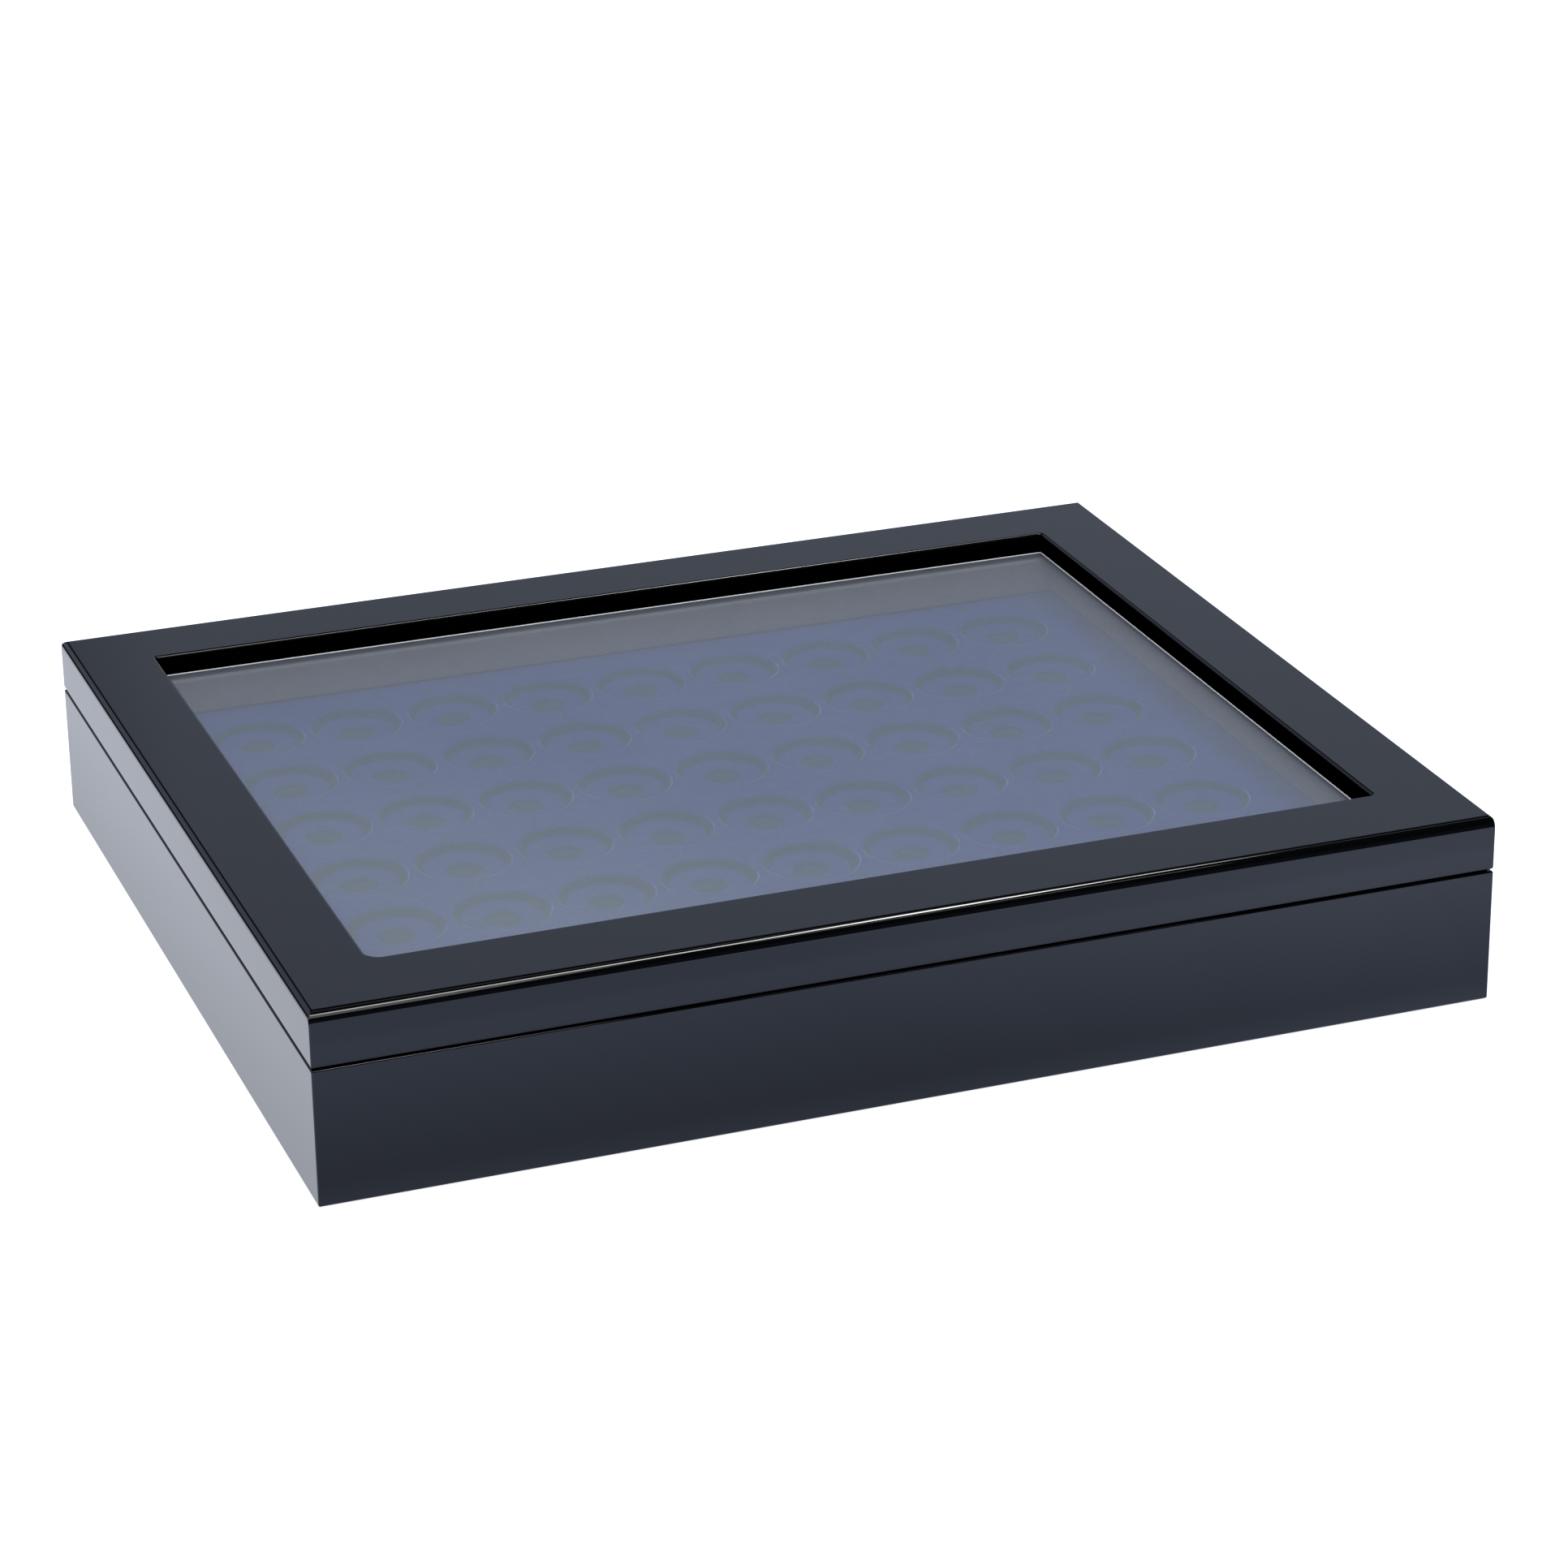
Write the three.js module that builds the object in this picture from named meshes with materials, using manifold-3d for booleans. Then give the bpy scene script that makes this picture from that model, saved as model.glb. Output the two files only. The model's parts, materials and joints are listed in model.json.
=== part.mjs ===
// A lacquered display case: a box with a hinged, glazed lid over a flocked tray with round pockets.
// Millimetres. +X runs right along the front, +Y to the back and +Z up. The origin is under the middle.

import * as THREE from 'three';
import { mergeVertices, mergeGeometries } from 'three/addons/utils/BufferGeometryUtils.js';
import Module from 'manifold-3d';

const wasm = await Module();
wasm.setup();

// The case as a whole
const caseLength = 400;
const caseDepth = 338;
const caseHeight = 65;
const lidHeight = 18.2;
const seamGap = 0.6;
const uprightEdgeRadius = 1.6;
const lidTopEdgeRadius = 2.1;
const seamEdgeRadius = 0.6;
const bottomEdgeRadius = 0.8;

// Gaps: glued joints, stacked sheets, and what the lid needs to close without rubbing
const glueGap = 0.3;
const sheetGap = 0.1;
const mitreGap = 0.3;
const closingClearance = 0.5;
const boreClearance = 0.3;

// Base
const longWall = 21.5;
const sideWall = 15.5;
const feltThickness = 0.8;
const feltInset = 3;
const floorPanelThickness = 4;
const floorRebateWidth = 8;
const cornerBlockLeg = 18;
const ledgeWidth = 8;
const ledgeHeight = 10;

// Tray
const trayBelowRim = 5.2;
const trayClearance = 0.5;
const pocketSheetThickness = 3;
const trayBoardThickness = 5;
const trayBackingThickness = 1.5;
const pocketColumns = 9;
const pocketRows = 6;
const pocketSideMargin = 32.4;
const pocketEndMargin = 30;
const pocketWeb = 3.5;
const pocketWallLean = 1;
const dimpleDiameter = 14;

// Lid
const sideRail = 28;
const frontRail = 33;
const backRail = 29;
const windowEdgeRadius = 0.6;
const windowCornerRadius = 1;
const frontLeftWindowCornerRadius = 5;
const glassBelowTop = 7.8;
const glassThickness = 2;
const glassEdgeGap = 0.6;
const linerThickness = 7.7;

// Hinges: two butt hinges let into the back
const hingeFromEnd = 82;
const hingeLength = 40;
const leafWidth = 14;
const leafThickness = 1.2;
const leafFaceGap = 0.3;
const knuckleDiameter = 5;
const knuckleGap = 0.3;
const hingePinDiameter = 2.4;
const pinHeadDiameter = 3.8;
const pinHeadThickness = 0.6;
const middleKnuckleLength = 16;
const screwHeadDiameter = 4.4;
const screwShankDiameter = 2;
const screwLength = 9;
const screwTipLength = 2;
const screwFromLeafEnd = 8;
const screwHeadSink = 0.1;

// Magnets and closing pads in the front
const magnetDiameter = 6;
const magnetThickness = 2.5;
const magnetFromEnd = 50;
const padDiameter = 5;
const padThickness = 2;
const padFromEnd = 22;

// Steps that round shapes are cut into
const arcSteps = 3;
const pocketSides = 24;
const dimpleSides = 12;
const barrelSides = 16;
const screwSides = 10;
const discSides = 16;

// How far a cutting solid runs past what it cuts
const overrun = 1;

// Levels and faces that follow from the sizes above
const baseBottom = feltThickness + sheetGap;
const lidBottom = caseHeight - lidHeight;
const baseTop = lidBottom - seamGap;
const trayTop = baseTop - trayBelowRim;
const trayBoardTop = trayTop - pocketSheetThickness - sheetGap;
const trayBackingTop = trayBoardTop - trayBoardThickness - sheetGap;
const trayBottom = trayBackingTop - trayBackingThickness;
const ledgeTop = trayBottom - sheetGap;
const ledgeBottom = ledgeTop - ledgeHeight;
const floorTop = baseBottom + floorPanelThickness;
const glassTop = caseHeight - glassBelowTop;
const glassBottom = glassTop - glassThickness;
const lipBottom = glassTop + glueGap;
const longSkirt = longWall + closingClearance;
const sideSkirt = sideWall + closingClearance;
const linerTop = glassBottom - glueGap;
const linerBottom = trayTop + glueGap;
const sideLinerInner = sideSkirt + glueGap + linerThickness;
const longLinerInner = longSkirt + glueGap + linerThickness;
const halfLength = caseLength / 2;
const halfDepth = caseDepth / 2;
const hingeAxisY = halfDepth + knuckleDiameter / 2 + knuckleGap;
const hingeAxisZ = baseTop + seamGap / 2;

// Pockets: centres spread between margins from the liners, and as wide as the closer spacing lets them be
const columnPitch = 2 * (halfLength - sideLinerInner - pocketSideMargin) / (pocketColumns - 1);
const rowPitch = 2 * (halfDepth - longLinerInner - pocketEndMargin) / (pocketRows - 1);
const pocketDiameter = Math.min(columnPitch, rowPitch) - pocketWeb;
const pocketFloorDiameter = pocketDiameter - 2 * pocketWallLean;

// Finishes
const lacquer = { color: 0x0a0a0c, roughness: 0.06, metalness: 0 };
const glass = { color: 0xdde6ea, roughness: 0.02, metalness: 0, transparent: true, opacity: 0.25 };
const blueFlock = { color: 0x33466f, roughness: 0.95, metalness: 0 };
const greyCloth = { color: 0x63666c, roughness: 0.95, metalness: 0 };
const blackFelt = { color: 0x18181a, roughness: 1, metalness: 0 };
const fibreboard = { color: 0x8f7350, roughness: 0.85, metalness: 0 };
const nickel = { color: 0xb9bcc0, roughness: 0.25, metalness: 1 };
const magnetNickel = { color: 0xc6c8cc, roughness: 0.18, metalness: 1 };
const clearRubber = { color: 0x2a2a2c, roughness: 0.6, metalness: 0 };

const displayCase = new THREE.Group();

function addPiece(name, geometry, finish) {
  const piece = new THREE.Mesh(geometry, new THREE.MeshStandardMaterial(finish));
  piece.name = name;
  displayCase.add(piece);
  return piece;
}

// A closed three.js geometry as a solid that can be cut and joined
function solidOf(geometry) {
  const bare = geometry.clone();
  bare.deleteAttribute('normal');
  bare.deleteAttribute('uv');
  const merged = mergeVertices(bare);
  return new wasm.Manifold(new wasm.Mesh({
    numProp: 3,
    vertProperties: new Float32Array(merged.attributes.position.array),
    triVerts: new Uint32Array(merged.index.array),
  }));
}

function geometryOf(solid) {
  const mesh = solid.getMesh();
  const geometry = new THREE.BufferGeometry();
  const stride = mesh.numProp;
  const places = new Float32Array(mesh.numVert * 3);
  for (let vertex = 0; vertex < mesh.numVert; vertex += 1) {
    for (let axis = 0; axis < 3; axis += 1) {
      places[vertex * 3 + axis] = mesh.vertProperties[vertex * stride + axis];
    }
  }
  geometry.setAttribute('position', new THREE.BufferAttribute(places, 3));
  geometry.setIndex(new THREE.BufferAttribute(new Uint32Array(mesh.triVerts), 1));
  geometry.computeVertexNormals();
  return geometry;
}

// A box from its lowest to its highest corner
function boxBetween(low, high) {
  const geometry = new THREE.BoxGeometry(high[0] - low[0], high[1] - low[1], high[2] - low[2]);
  geometry.translate((low[0] + high[0]) / 2, (low[1] + high[1]) / 2, (low[2] + high[2]) / 2);
  return geometry;
}

// An upright disc or cone frustum, standing on bottomZ
function uprightRound(x, y, bottomZ, topZ, bottomRadius, topRadius, sides) {
  const geometry = new THREE.CylinderGeometry(topRadius, bottomRadius, topZ - bottomZ, sides);
  geometry.rotateX(Math.PI / 2);
  geometry.translate(x, y, (bottomZ + topZ) / 2);
  return geometry;
}

// A plan outline pulled up from bottomZ to topZ
function uprightPrism(shape, bottomZ, topZ) {
  const geometry = new THREE.ExtrudeGeometry(shape, {
    depth: topZ - bottomZ,
    bevelEnabled: false,
    curveSegments: arcSteps,
  });
  geometry.translate(0, 0, bottomZ);
  return geometry;
}

function outlineOf(points) {
  return new THREE.Shape(points.map(([x, y]) => new THREE.Vector2(x, y)));
}

// The four sides in turn: quarter turns from the front, distance out, half length, and what stands there
const longSide = {
  out: halfDepth, reach: halfLength, wall: longWall, skirt: longSkirt, liner: longLinerInner,
};
const shortSide = {
  out: halfLength, reach: halfDepth, wall: sideWall, skirt: sideSkirt, liner: sideLinerInner,
};
const sides = [
  { name: 'front', turns: 0, rail: frontRail, ...longSide },
  { name: 'right', turns: 1, rail: sideRail, ...shortSide },
  { name: 'back', turns: 2, rail: backRail, ...longSide },
  { name: 'left', turns: 3, rail: sideRail, ...shortSide },
];

// A length of moulding on one side: its profile is drawn inward (x) and up (y) from the outer face
function mouldingOn(side, profile) {
  const geometry = new THREE.ExtrudeGeometry(profile, {
    depth: 2 * side.reach,
    bevelEnabled: false,
    curveSegments: arcSteps,
  });
  geometry.applyMatrix4(new THREE.Matrix4().set(
    0, 0, 1, -side.reach,
    1, 0, 0, -side.out,
    0, 1, 0, 0,
    0, 0, 0, 1,
  ));
  geometry.rotateZ(side.turns * Math.PI / 2);
  return solidOf(geometry);
}

// The wedge of the plan that a mitred length keeps. A band runs from its outer to its inner face, both
// measured in from the case's outer face: this side's band, and those of the sides before and after it.
function mitreWedge(side, band, bandBefore, bandAfter, bottomZ, topZ) {
  const width = band.inner - band.outer;
  const slopeBefore = (bandBefore.inner - bandBefore.outer) / width;
  const slopeAfter = (bandAfter.inner - bandAfter.outer) / width;
  const startAlong = -side.reach + mitreGap / 2 * Math.hypot(1, slopeBefore);
  const endAlong = side.reach - mitreGap / 2 * Math.hypot(1, slopeAfter);
  const inward = frontLeftWindowCornerRadius + overrun;
  const outer = -side.out + band.outer - overrun;
  const inner = -side.out + band.inner + inward;
  const outline = outlineOf([
    [startAlong + bandBefore.outer - overrun * slopeBefore, outer],
    [endAlong - bandAfter.outer + overrun * slopeAfter, outer],
    [endAlong - bandAfter.inner - inward * slopeAfter, inner],
    [startAlong + bandBefore.inner + inward * slopeBefore, inner],
  ]);
  const geometry = uprightPrism(outline, bottomZ - overrun, topZ + overrun);
  geometry.rotateZ(side.turns * Math.PI / 2);
  return solidOf(geometry);
}

// The plan of the whole case, with its upright edges rounded
function caseOutline(radius) {
  const outline = new THREE.Shape();
  const x = halfLength - radius;
  const y = halfDepth - radius;
  outline.absarc(x, -y, radius, -Math.PI / 2, 0, false);
  outline.absarc(x, y, radius, 0, Math.PI / 2, false);
  outline.absarc(-x, y, radius, Math.PI / 2, Math.PI, false);
  outline.absarc(-x, -y, radius, Math.PI, Math.PI * 1.5, false);
  return outline;
}

const roundedCase = solidOf(uprightPrism(caseOutline(uprightEdgeRadius), -overrun, caseHeight + overrun));

// Base walls

function baseWallProfile(thickness) {
  const rebateTop = floorTop + glueGap;
  const seamArcZ = baseTop - seamEdgeRadius;
  const bottomArcZ = baseBottom + bottomEdgeRadius;
  const profile = new THREE.Shape();
  profile.moveTo(bottomEdgeRadius, baseBottom);
  profile.lineTo(thickness - floorRebateWidth, baseBottom);
  profile.lineTo(thickness - floorRebateWidth, rebateTop);
  profile.lineTo(thickness, rebateTop);
  profile.lineTo(thickness, baseTop);
  profile.lineTo(seamEdgeRadius, baseTop);
  profile.absarc(seamEdgeRadius, seamArcZ, seamEdgeRadius, Math.PI / 2, Math.PI, false);
  profile.absarc(bottomEdgeRadius, bottomArcZ, bottomEdgeRadius, Math.PI, Math.PI * 1.5, false);
  return profile;
}

// Lid rails

function lidRailProfile(skirt, rail) {
  const windowArcZ = caseHeight - windowEdgeRadius;
  const topArcZ = caseHeight - lidTopEdgeRadius;
  const seamArcZ = lidBottom + seamEdgeRadius;
  const profile = new THREE.Shape();
  profile.moveTo(seamEdgeRadius, lidBottom);
  profile.lineTo(skirt, lidBottom);
  profile.lineTo(skirt, lipBottom);
  profile.lineTo(rail, lipBottom);
  profile.absarc(rail - windowEdgeRadius, windowArcZ, windowEdgeRadius, 0, Math.PI / 2, false);
  profile.absarc(lidTopEdgeRadius, topArcZ, lidTopEdgeRadius, Math.PI / 2, Math.PI, false);
  profile.absarc(seamEdgeRadius, seamArcZ, seamEdgeRadius, Math.PI, Math.PI * 1.5, false);
  return profile;
}

// The lacquer fillet that rounds one corner of the window, reaching into the rails on both sides
function windowFillet(x, y, radius) {
  const inwardX = -Math.sign(x);
  const inwardY = -Math.sign(y);
  const steps = arcSteps + 1;
  const points = [[-overrun, -overrun], [radius, -overrun]];
  for (let step = 0; step <= steps; step += 1) {
    const angle = -Math.PI / 2 - step / steps * Math.PI / 2;
    points.push([radius + radius * Math.cos(angle), radius + radius * Math.sin(angle)]);
  }
  points.push([-overrun, radius]);
  const outline = outlineOf(points.map(([along, up]) => [x + inwardX * along, y + inwardY * up]));
  return solidOf(uprightPrism(outline, lipBottom, caseHeight - windowEdgeRadius));
}

const windowLeft = -halfLength + sideRail;
const windowRight = halfLength - sideRail;
const windowFront = -halfDepth + frontRail;
const windowBack = halfDepth - backRail;
const fillets = [
  windowFillet(windowLeft, windowFront, frontLeftWindowCornerRadius),
  windowFillet(windowRight, windowFront, windowCornerRadius),
  windowFillet(windowLeft, windowBack, windowCornerRadius),
  windowFillet(windowRight, windowBack, windowCornerRadius),
];

// Hinges: places of the two hinges, and of the two screws in a leaf

const hingePlaces = [
  { name: 'left', x: -halfLength + hingeFromEnd },
  { name: 'right', x: halfLength - hingeFromEnd },
];
const screwPlaces = [
  { name: 'left', x: -hingeLength / 2 + screwFromLeafEnd },
  { name: 'right', x: hingeLength / 2 - screwFromLeafEnd },
];
const screwY = halfDepth - leafWidth / 2;
const screwHeadHeight = (screwHeadDiameter - screwShankDiameter) / 2;

// What a leaf takes out of the wall or rail under it, below (-1) or above (1) the seam
function hingeRecess(hinge, way) {
  const deep = leafFaceGap / 2 + leafThickness + glueGap;
  const levels = [hingeAxisZ, hingeAxisZ + way * deep].sort((a, b) => a - b);
  const mortise = solidOf(boxBetween(
    [hinge.x - hingeLength / 2 - glueGap, halfDepth - leafWidth - glueGap, levels[0]],
    [hinge.x + hingeLength / 2 + glueGap, halfDepth + overrun, levels[1]],
  ));
  return screwPlaces.reduce((cut, screw) => {
    const radius = screwShankDiameter / 2 + boreClearance;
    const tip = hingeAxisZ + way * (leafFaceGap / 2 + screwHeadSink + screwLength + glueGap);
    const depths = [hingeAxisZ, tip].sort((a, b) => a - b);
    const pilot = uprightRound(hinge.x + screw.x, screwY, depths[0], depths[1], radius, radius, screwSides);
    return cut.add(solidOf(pilot));
  }, mortise);
}

// Round seats for the magnets and the closing pads, in the rim (-1) or in the lid's underside (1)
const magnetY = -halfDepth + longWall / 2;
const magnetX = halfLength - magnetFromEnd;
const padX = halfLength - padFromEnd;
const ends = [-1, 1];

function seatBelow(x, faceZ, way, diameter, depth) {
  const radius = diameter / 2 + boreClearance;
  const levels = [faceZ - way * overrun, faceZ + way * (depth + glueGap)].sort((a, b) => a - b);
  return solidOf(uprightRound(x, magnetY, levels[0], levels[1], radius, radius, discSides));
}

const padSunk = padThickness - seamGap / 2;
const frontRimSeats = ends.flatMap((end) => [
  seatBelow(end * magnetX, baseTop, -1, magnetDiameter, magnetThickness),
  seatBelow(end * padX, baseTop, -1, padDiameter, padSunk),
]);
const frontLidSeats = ends.map(
  (end) => seatBelow(end * magnetX, lidBottom, 1, magnetDiameter, magnetThickness),
);

const wallBand = (side) => ({ outer: 0, inner: side.wall });
const railBand = (side) => ({ outer: 0, inner: side.rail });
const linerBand = (side) => ({ outer: side.skirt + glueGap, inner: side.liner });

// Walls and rails: a length of moulding, mitred, rounded at the case's corners, then cut for its fittings
sides.forEach((side, index) => {
  const before = sides[(index + 3) % 4];
  const after = sides[(index + 1) % 4];

  let wall = mouldingOn(side, baseWallProfile(side.wall))
    .intersect(mitreWedge(side, wallBand(side), wallBand(before), wallBand(after), 0, baseTop))
    .intersect(roundedCase);
  const bareRail = mouldingOn(side, lidRailProfile(side.skirt, side.rail));
  let rail = fillets.reduce((joined, fillet) => joined.add(fillet), bareRail)
    .intersect(mitreWedge(side, railBand(side), railBand(before), railBand(after), lidBottom, caseHeight))
    .intersect(roundedCase);

  if (side.name === 'front') {
    wall = frontRimSeats.reduce((cut, seat) => cut.subtract(seat), wall);
    rail = frontLidSeats.reduce((cut, seat) => cut.subtract(seat), rail);
  }
  if (side.name === 'back') {
    wall = hingePlaces.reduce((cut, hinge) => cut.subtract(hingeRecess(hinge, -1)), wall);
    rail = hingePlaces.reduce((cut, hinge) => cut.subtract(hingeRecess(hinge, 1)), rail);
  }
  addPiece(`base_${side.name}_wall`, geometryOf(wall), lacquer);
  addPiece(`lid_${side.name}_rail`, geometryOf(rail), lacquer);
});

// Floor panel in its rebate, and the felt under the case

const rebateX = halfLength - sideWall + floorRebateWidth - glueGap;
const rebateY = halfDepth - longWall + floorRebateWidth - glueGap;
addPiece('base_floor_panel', boxBetween(
  [-rebateX, -rebateY, baseBottom],
  [rebateX, rebateY, floorTop],
), fibreboard);
addPiece('underside_felt', boxBetween(
  [-halfLength + feltInset, -halfDepth + feltInset, 0],
  [halfLength - feltInset, halfDepth - feltInset, feltThickness],
), blackFelt);

// Corner blocks and the ledges that carry the tray

const innerX = halfLength - sideWall - glueGap;
const innerY = halfDepth - longWall - glueGap;
const cornerBlockTop = ledgeBottom - glueGap;
[-1, 1].forEach((right) => {
  [-1, 1].forEach((back) => {
    const corner = [right * innerX, back * innerY];
    const outline = outlineOf([
      corner,
      [corner[0] - right * cornerBlockLeg, corner[1]],
      [corner[0], corner[1] - back * cornerBlockLeg],
    ]);
    const name = `corner_block_${back > 0 ? 'back' : 'front'}_${right > 0 ? 'right' : 'left'}`;
    addPiece(name, uprightPrism(outline, floorTop + sheetGap, cornerBlockTop), fibreboard);
  });
});

[-1, 1].forEach((back) => {
  const outerY = back * innerY;
  const ledgeY = [outerY, outerY - back * ledgeWidth].sort((a, b) => a - b);
  addPiece(`tray_ledge_${back > 0 ? 'back' : 'front'}`, boxBetween(
    [-innerX, ledgeY[0], ledgeBottom],
    [innerX, ledgeY[1], ledgeTop],
  ), fibreboard);
});
[-1, 1].forEach((right) => {
  const outerX = right * innerX;
  const ledgeX = [outerX, outerX - right * ledgeWidth].sort((a, b) => a - b);
  const reach = innerY - ledgeWidth - glueGap;
  addPiece(`tray_ledge_${right > 0 ? 'right' : 'left'}`, boxBetween(
    [ledgeX[0], -reach, ledgeBottom],
    [ledgeX[1], reach, ledgeTop],
  ), fibreboard);
});

// Tray: flocked sheet with the pockets, board with a hole under each, and a backing sheet

const trayX = halfLength - sideWall - trayClearance;
const trayY = halfDepth - longWall - trayClearance;

function pocketCentres() {
  const centres = [];
  for (let row = 0; row < pocketRows; row += 1) {
    for (let column = 0; column < pocketColumns; column += 1) {
      centres.push([
        (column - (pocketColumns - 1) / 2) * columnPitch,
        (row - (pocketRows - 1) / 2) * rowPitch,
      ]);
    }
  }
  return centres;
}

const pocketSlope = pocketWallLean / pocketSheetThickness;
const pocketCuts = pocketCentres().map(([x, y]) => uprightRound(
  x, y,
  trayTop - pocketSheetThickness - overrun, trayTop + overrun,
  pocketFloorDiameter / 2 - overrun * pocketSlope, pocketDiameter / 2 + overrun * pocketSlope,
  pocketSides,
));
const uncutSheet = boxBetween([-trayX, -trayY, trayTop - pocketSheetThickness], [trayX, trayY, trayTop]);
const pocketSheet = solidOf(uncutSheet).subtract(solidOf(mergeGeometries(pocketCuts)));
addPiece('tray_pocket_sheet', geometryOf(pocketSheet), blueFlock);

const dimpleCuts = pocketCentres().map(([x, y]) => uprightRound(
  x, y,
  trayBoardTop - trayBoardThickness - overrun, trayBoardTop + overrun,
  dimpleDiameter / 2, dimpleDiameter / 2,
  dimpleSides,
));
const uncutBoard = boxBetween(
  [-trayX, -trayY, trayBoardTop - trayBoardThickness],
  [trayX, trayY, trayBoardTop],
);
const trayBoard = solidOf(uncutBoard).subtract(solidOf(mergeGeometries(dimpleCuts)));
addPiece('tray_board', geometryOf(trayBoard), blueFlock);
addPiece('tray_backing', boxBetween([-trayX, -trayY, trayBottom], [trayX, trayY, trayBackingTop]), blackFelt);

// Glass pane, bedded under the rails' lip, and the liner boards that hold it there

const glassX = halfLength - sideSkirt - glassEdgeGap;
const glassY = halfDepth - longSkirt - glassEdgeGap;
addPiece('glass_pane', boxBetween([-glassX, -glassY, glassBottom], [glassX, glassY, glassTop]), glass);

sides.forEach((side, index) => {
  const band = linerBand(side);
  const neighbour = linerBand(sides[(index + 1) % 4]);
  const profile = outlineOf([
    [band.outer, linerBottom],
    [band.inner, linerBottom],
    [band.inner, linerTop],
    [band.outer, linerTop],
  ]);
  const liner = mouldingOn(side, profile)
    .intersect(mitreWedge(side, band, neighbour, neighbour, linerBottom, linerTop));
  addPiece(`lid_${side.name}_liner`, geometryOf(liner), greyCloth);
});

// Hinge leaves: a plate with its own knuckles, seen from the pin's axis

const knuckleSpans = {
  middle: [[-middleKnuckleLength / 2, middleKnuckleLength / 2]],
  outer: [
    [-hingeLength / 2, -middleKnuckleLength / 2 - knuckleGap],
    [middleKnuckleLength / 2 + knuckleGap, hingeLength / 2],
  ],
};

// A round bar along X, centred on the hinge's axis
function barAlongX(fromX, toX, radius) {
  const geometry = new THREE.CylinderGeometry(radius, radius, toX - fromX, barrelSides);
  geometry.rotateZ(Math.PI / 2);
  geometry.translate((fromX + toX) / 2, hingeAxisY, hingeAxisZ);
  return geometry;
}

function hingeLeaf(hinge, way, spans) {
  const face = hingeAxisZ + way * leafFaceGap / 2;
  const levels = [face, face + way * leafThickness].sort((a, b) => a - b);
  const plateBack = hingeAxisY - knuckleDiameter / 2 - knuckleGap;
  let leaf = solidOf(boxBetween(
    [hinge.x - hingeLength / 2, halfDepth - leafWidth, levels[0]],
    [hinge.x + hingeLength / 2, plateBack, levels[1]],
  ));
  spans.forEach(([from, to]) => {
    leaf = leaf
      .add(solidOf(boxBetween(
        [hinge.x + from, plateBack - overrun, levels[0]],
        [hinge.x + to, hingeAxisY, levels[1]],
      )))
      .add(solidOf(barAlongX(hinge.x + from, hinge.x + to, knuckleDiameter / 2)));
  });
  leaf = leaf.subtract(solidOf(barAlongX(
    hinge.x - hingeLength / 2 - overrun,
    hinge.x + hingeLength / 2 + overrun,
    hingePinDiameter / 2 + boreClearance,
  )));
  screwPlaces.forEach((screw) => {
    const wide = screwHeadDiameter / 2 + boreClearance;
    const narrow = screwShankDiameter / 2 + boreClearance;
    const slope = (wide - narrow) / screwHeadHeight;
    const mouth = wide + overrun * slope;
    const cone = uprightRound(0, 0, -screwHeadHeight, overrun, narrow, mouth, screwSides);
    const shaft = uprightRound(0, 0, -leafThickness - overrun, 0, narrow, narrow, screwSides);
    [cone, shaft].forEach((cutter) => {
      if (way > 0) {
        cutter.rotateX(Math.PI);
      }
      cutter.translate(hinge.x + screw.x, screwY, face);
      leaf = leaf.subtract(solidOf(cutter));
    });
  });
  return geometryOf(leaf);
}

// A countersunk screw, head up, its head's face at zero
function screwShape() {
  const head = screwHeadDiameter / 2;
  const shank = screwShankDiameter / 2;
  return new THREE.LatheGeometry([
    new THREE.Vector2(0, -screwLength),
    new THREE.Vector2(shank, -screwLength + screwTipLength),
    new THREE.Vector2(shank, -screwHeadHeight),
    new THREE.Vector2(head, 0),
    new THREE.Vector2(0, 0),
  ], screwSides).rotateX(Math.PI / 2);
}

function hingePinShape() {
  const shaft = hingePinDiameter / 2;
  const head = pinHeadDiameter / 2;
  const neck = hingeLength / 2 + glueGap;
  const end = neck + pinHeadThickness;
  return new THREE.LatheGeometry([
    new THREE.Vector2(0, -end),
    new THREE.Vector2(head, -end),
    new THREE.Vector2(head, -neck),
    new THREE.Vector2(shaft, -neck),
    new THREE.Vector2(shaft, neck),
    new THREE.Vector2(head, neck),
    new THREE.Vector2(head, end),
    new THREE.Vector2(0, end),
  ], barrelSides).rotateZ(-Math.PI / 2);
}

hingePlaces.forEach((hinge) => {
  addPiece(`hinge_${hinge.name}_base_leaf`, hingeLeaf(hinge, -1, knuckleSpans.outer), nickel);
  addPiece(`hinge_${hinge.name}_lid_leaf`, hingeLeaf(hinge, 1, knuckleSpans.middle), nickel);
  addPiece(`hinge_${hinge.name}_pin`, hingePinShape(), nickel).position.set(hinge.x, hingeAxisY, hingeAxisZ);
  screwPlaces.forEach((screw) => {
    const sunk = leafFaceGap / 2 + screwHeadSink;
    addPiece(`hinge_${hinge.name}_base_screw_${screw.name}`, screwShape(), nickel)
      .position.set(hinge.x + screw.x, screwY, hingeAxisZ - sunk);
    const lidScrew = addPiece(`hinge_${hinge.name}_lid_screw_${screw.name}`, screwShape(), nickel);
    lidScrew.rotation.x = Math.PI;
    lidScrew.position.set(hinge.x + screw.x, screwY, hingeAxisZ + sunk);
  });
});

// Magnets and closing pads

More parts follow.
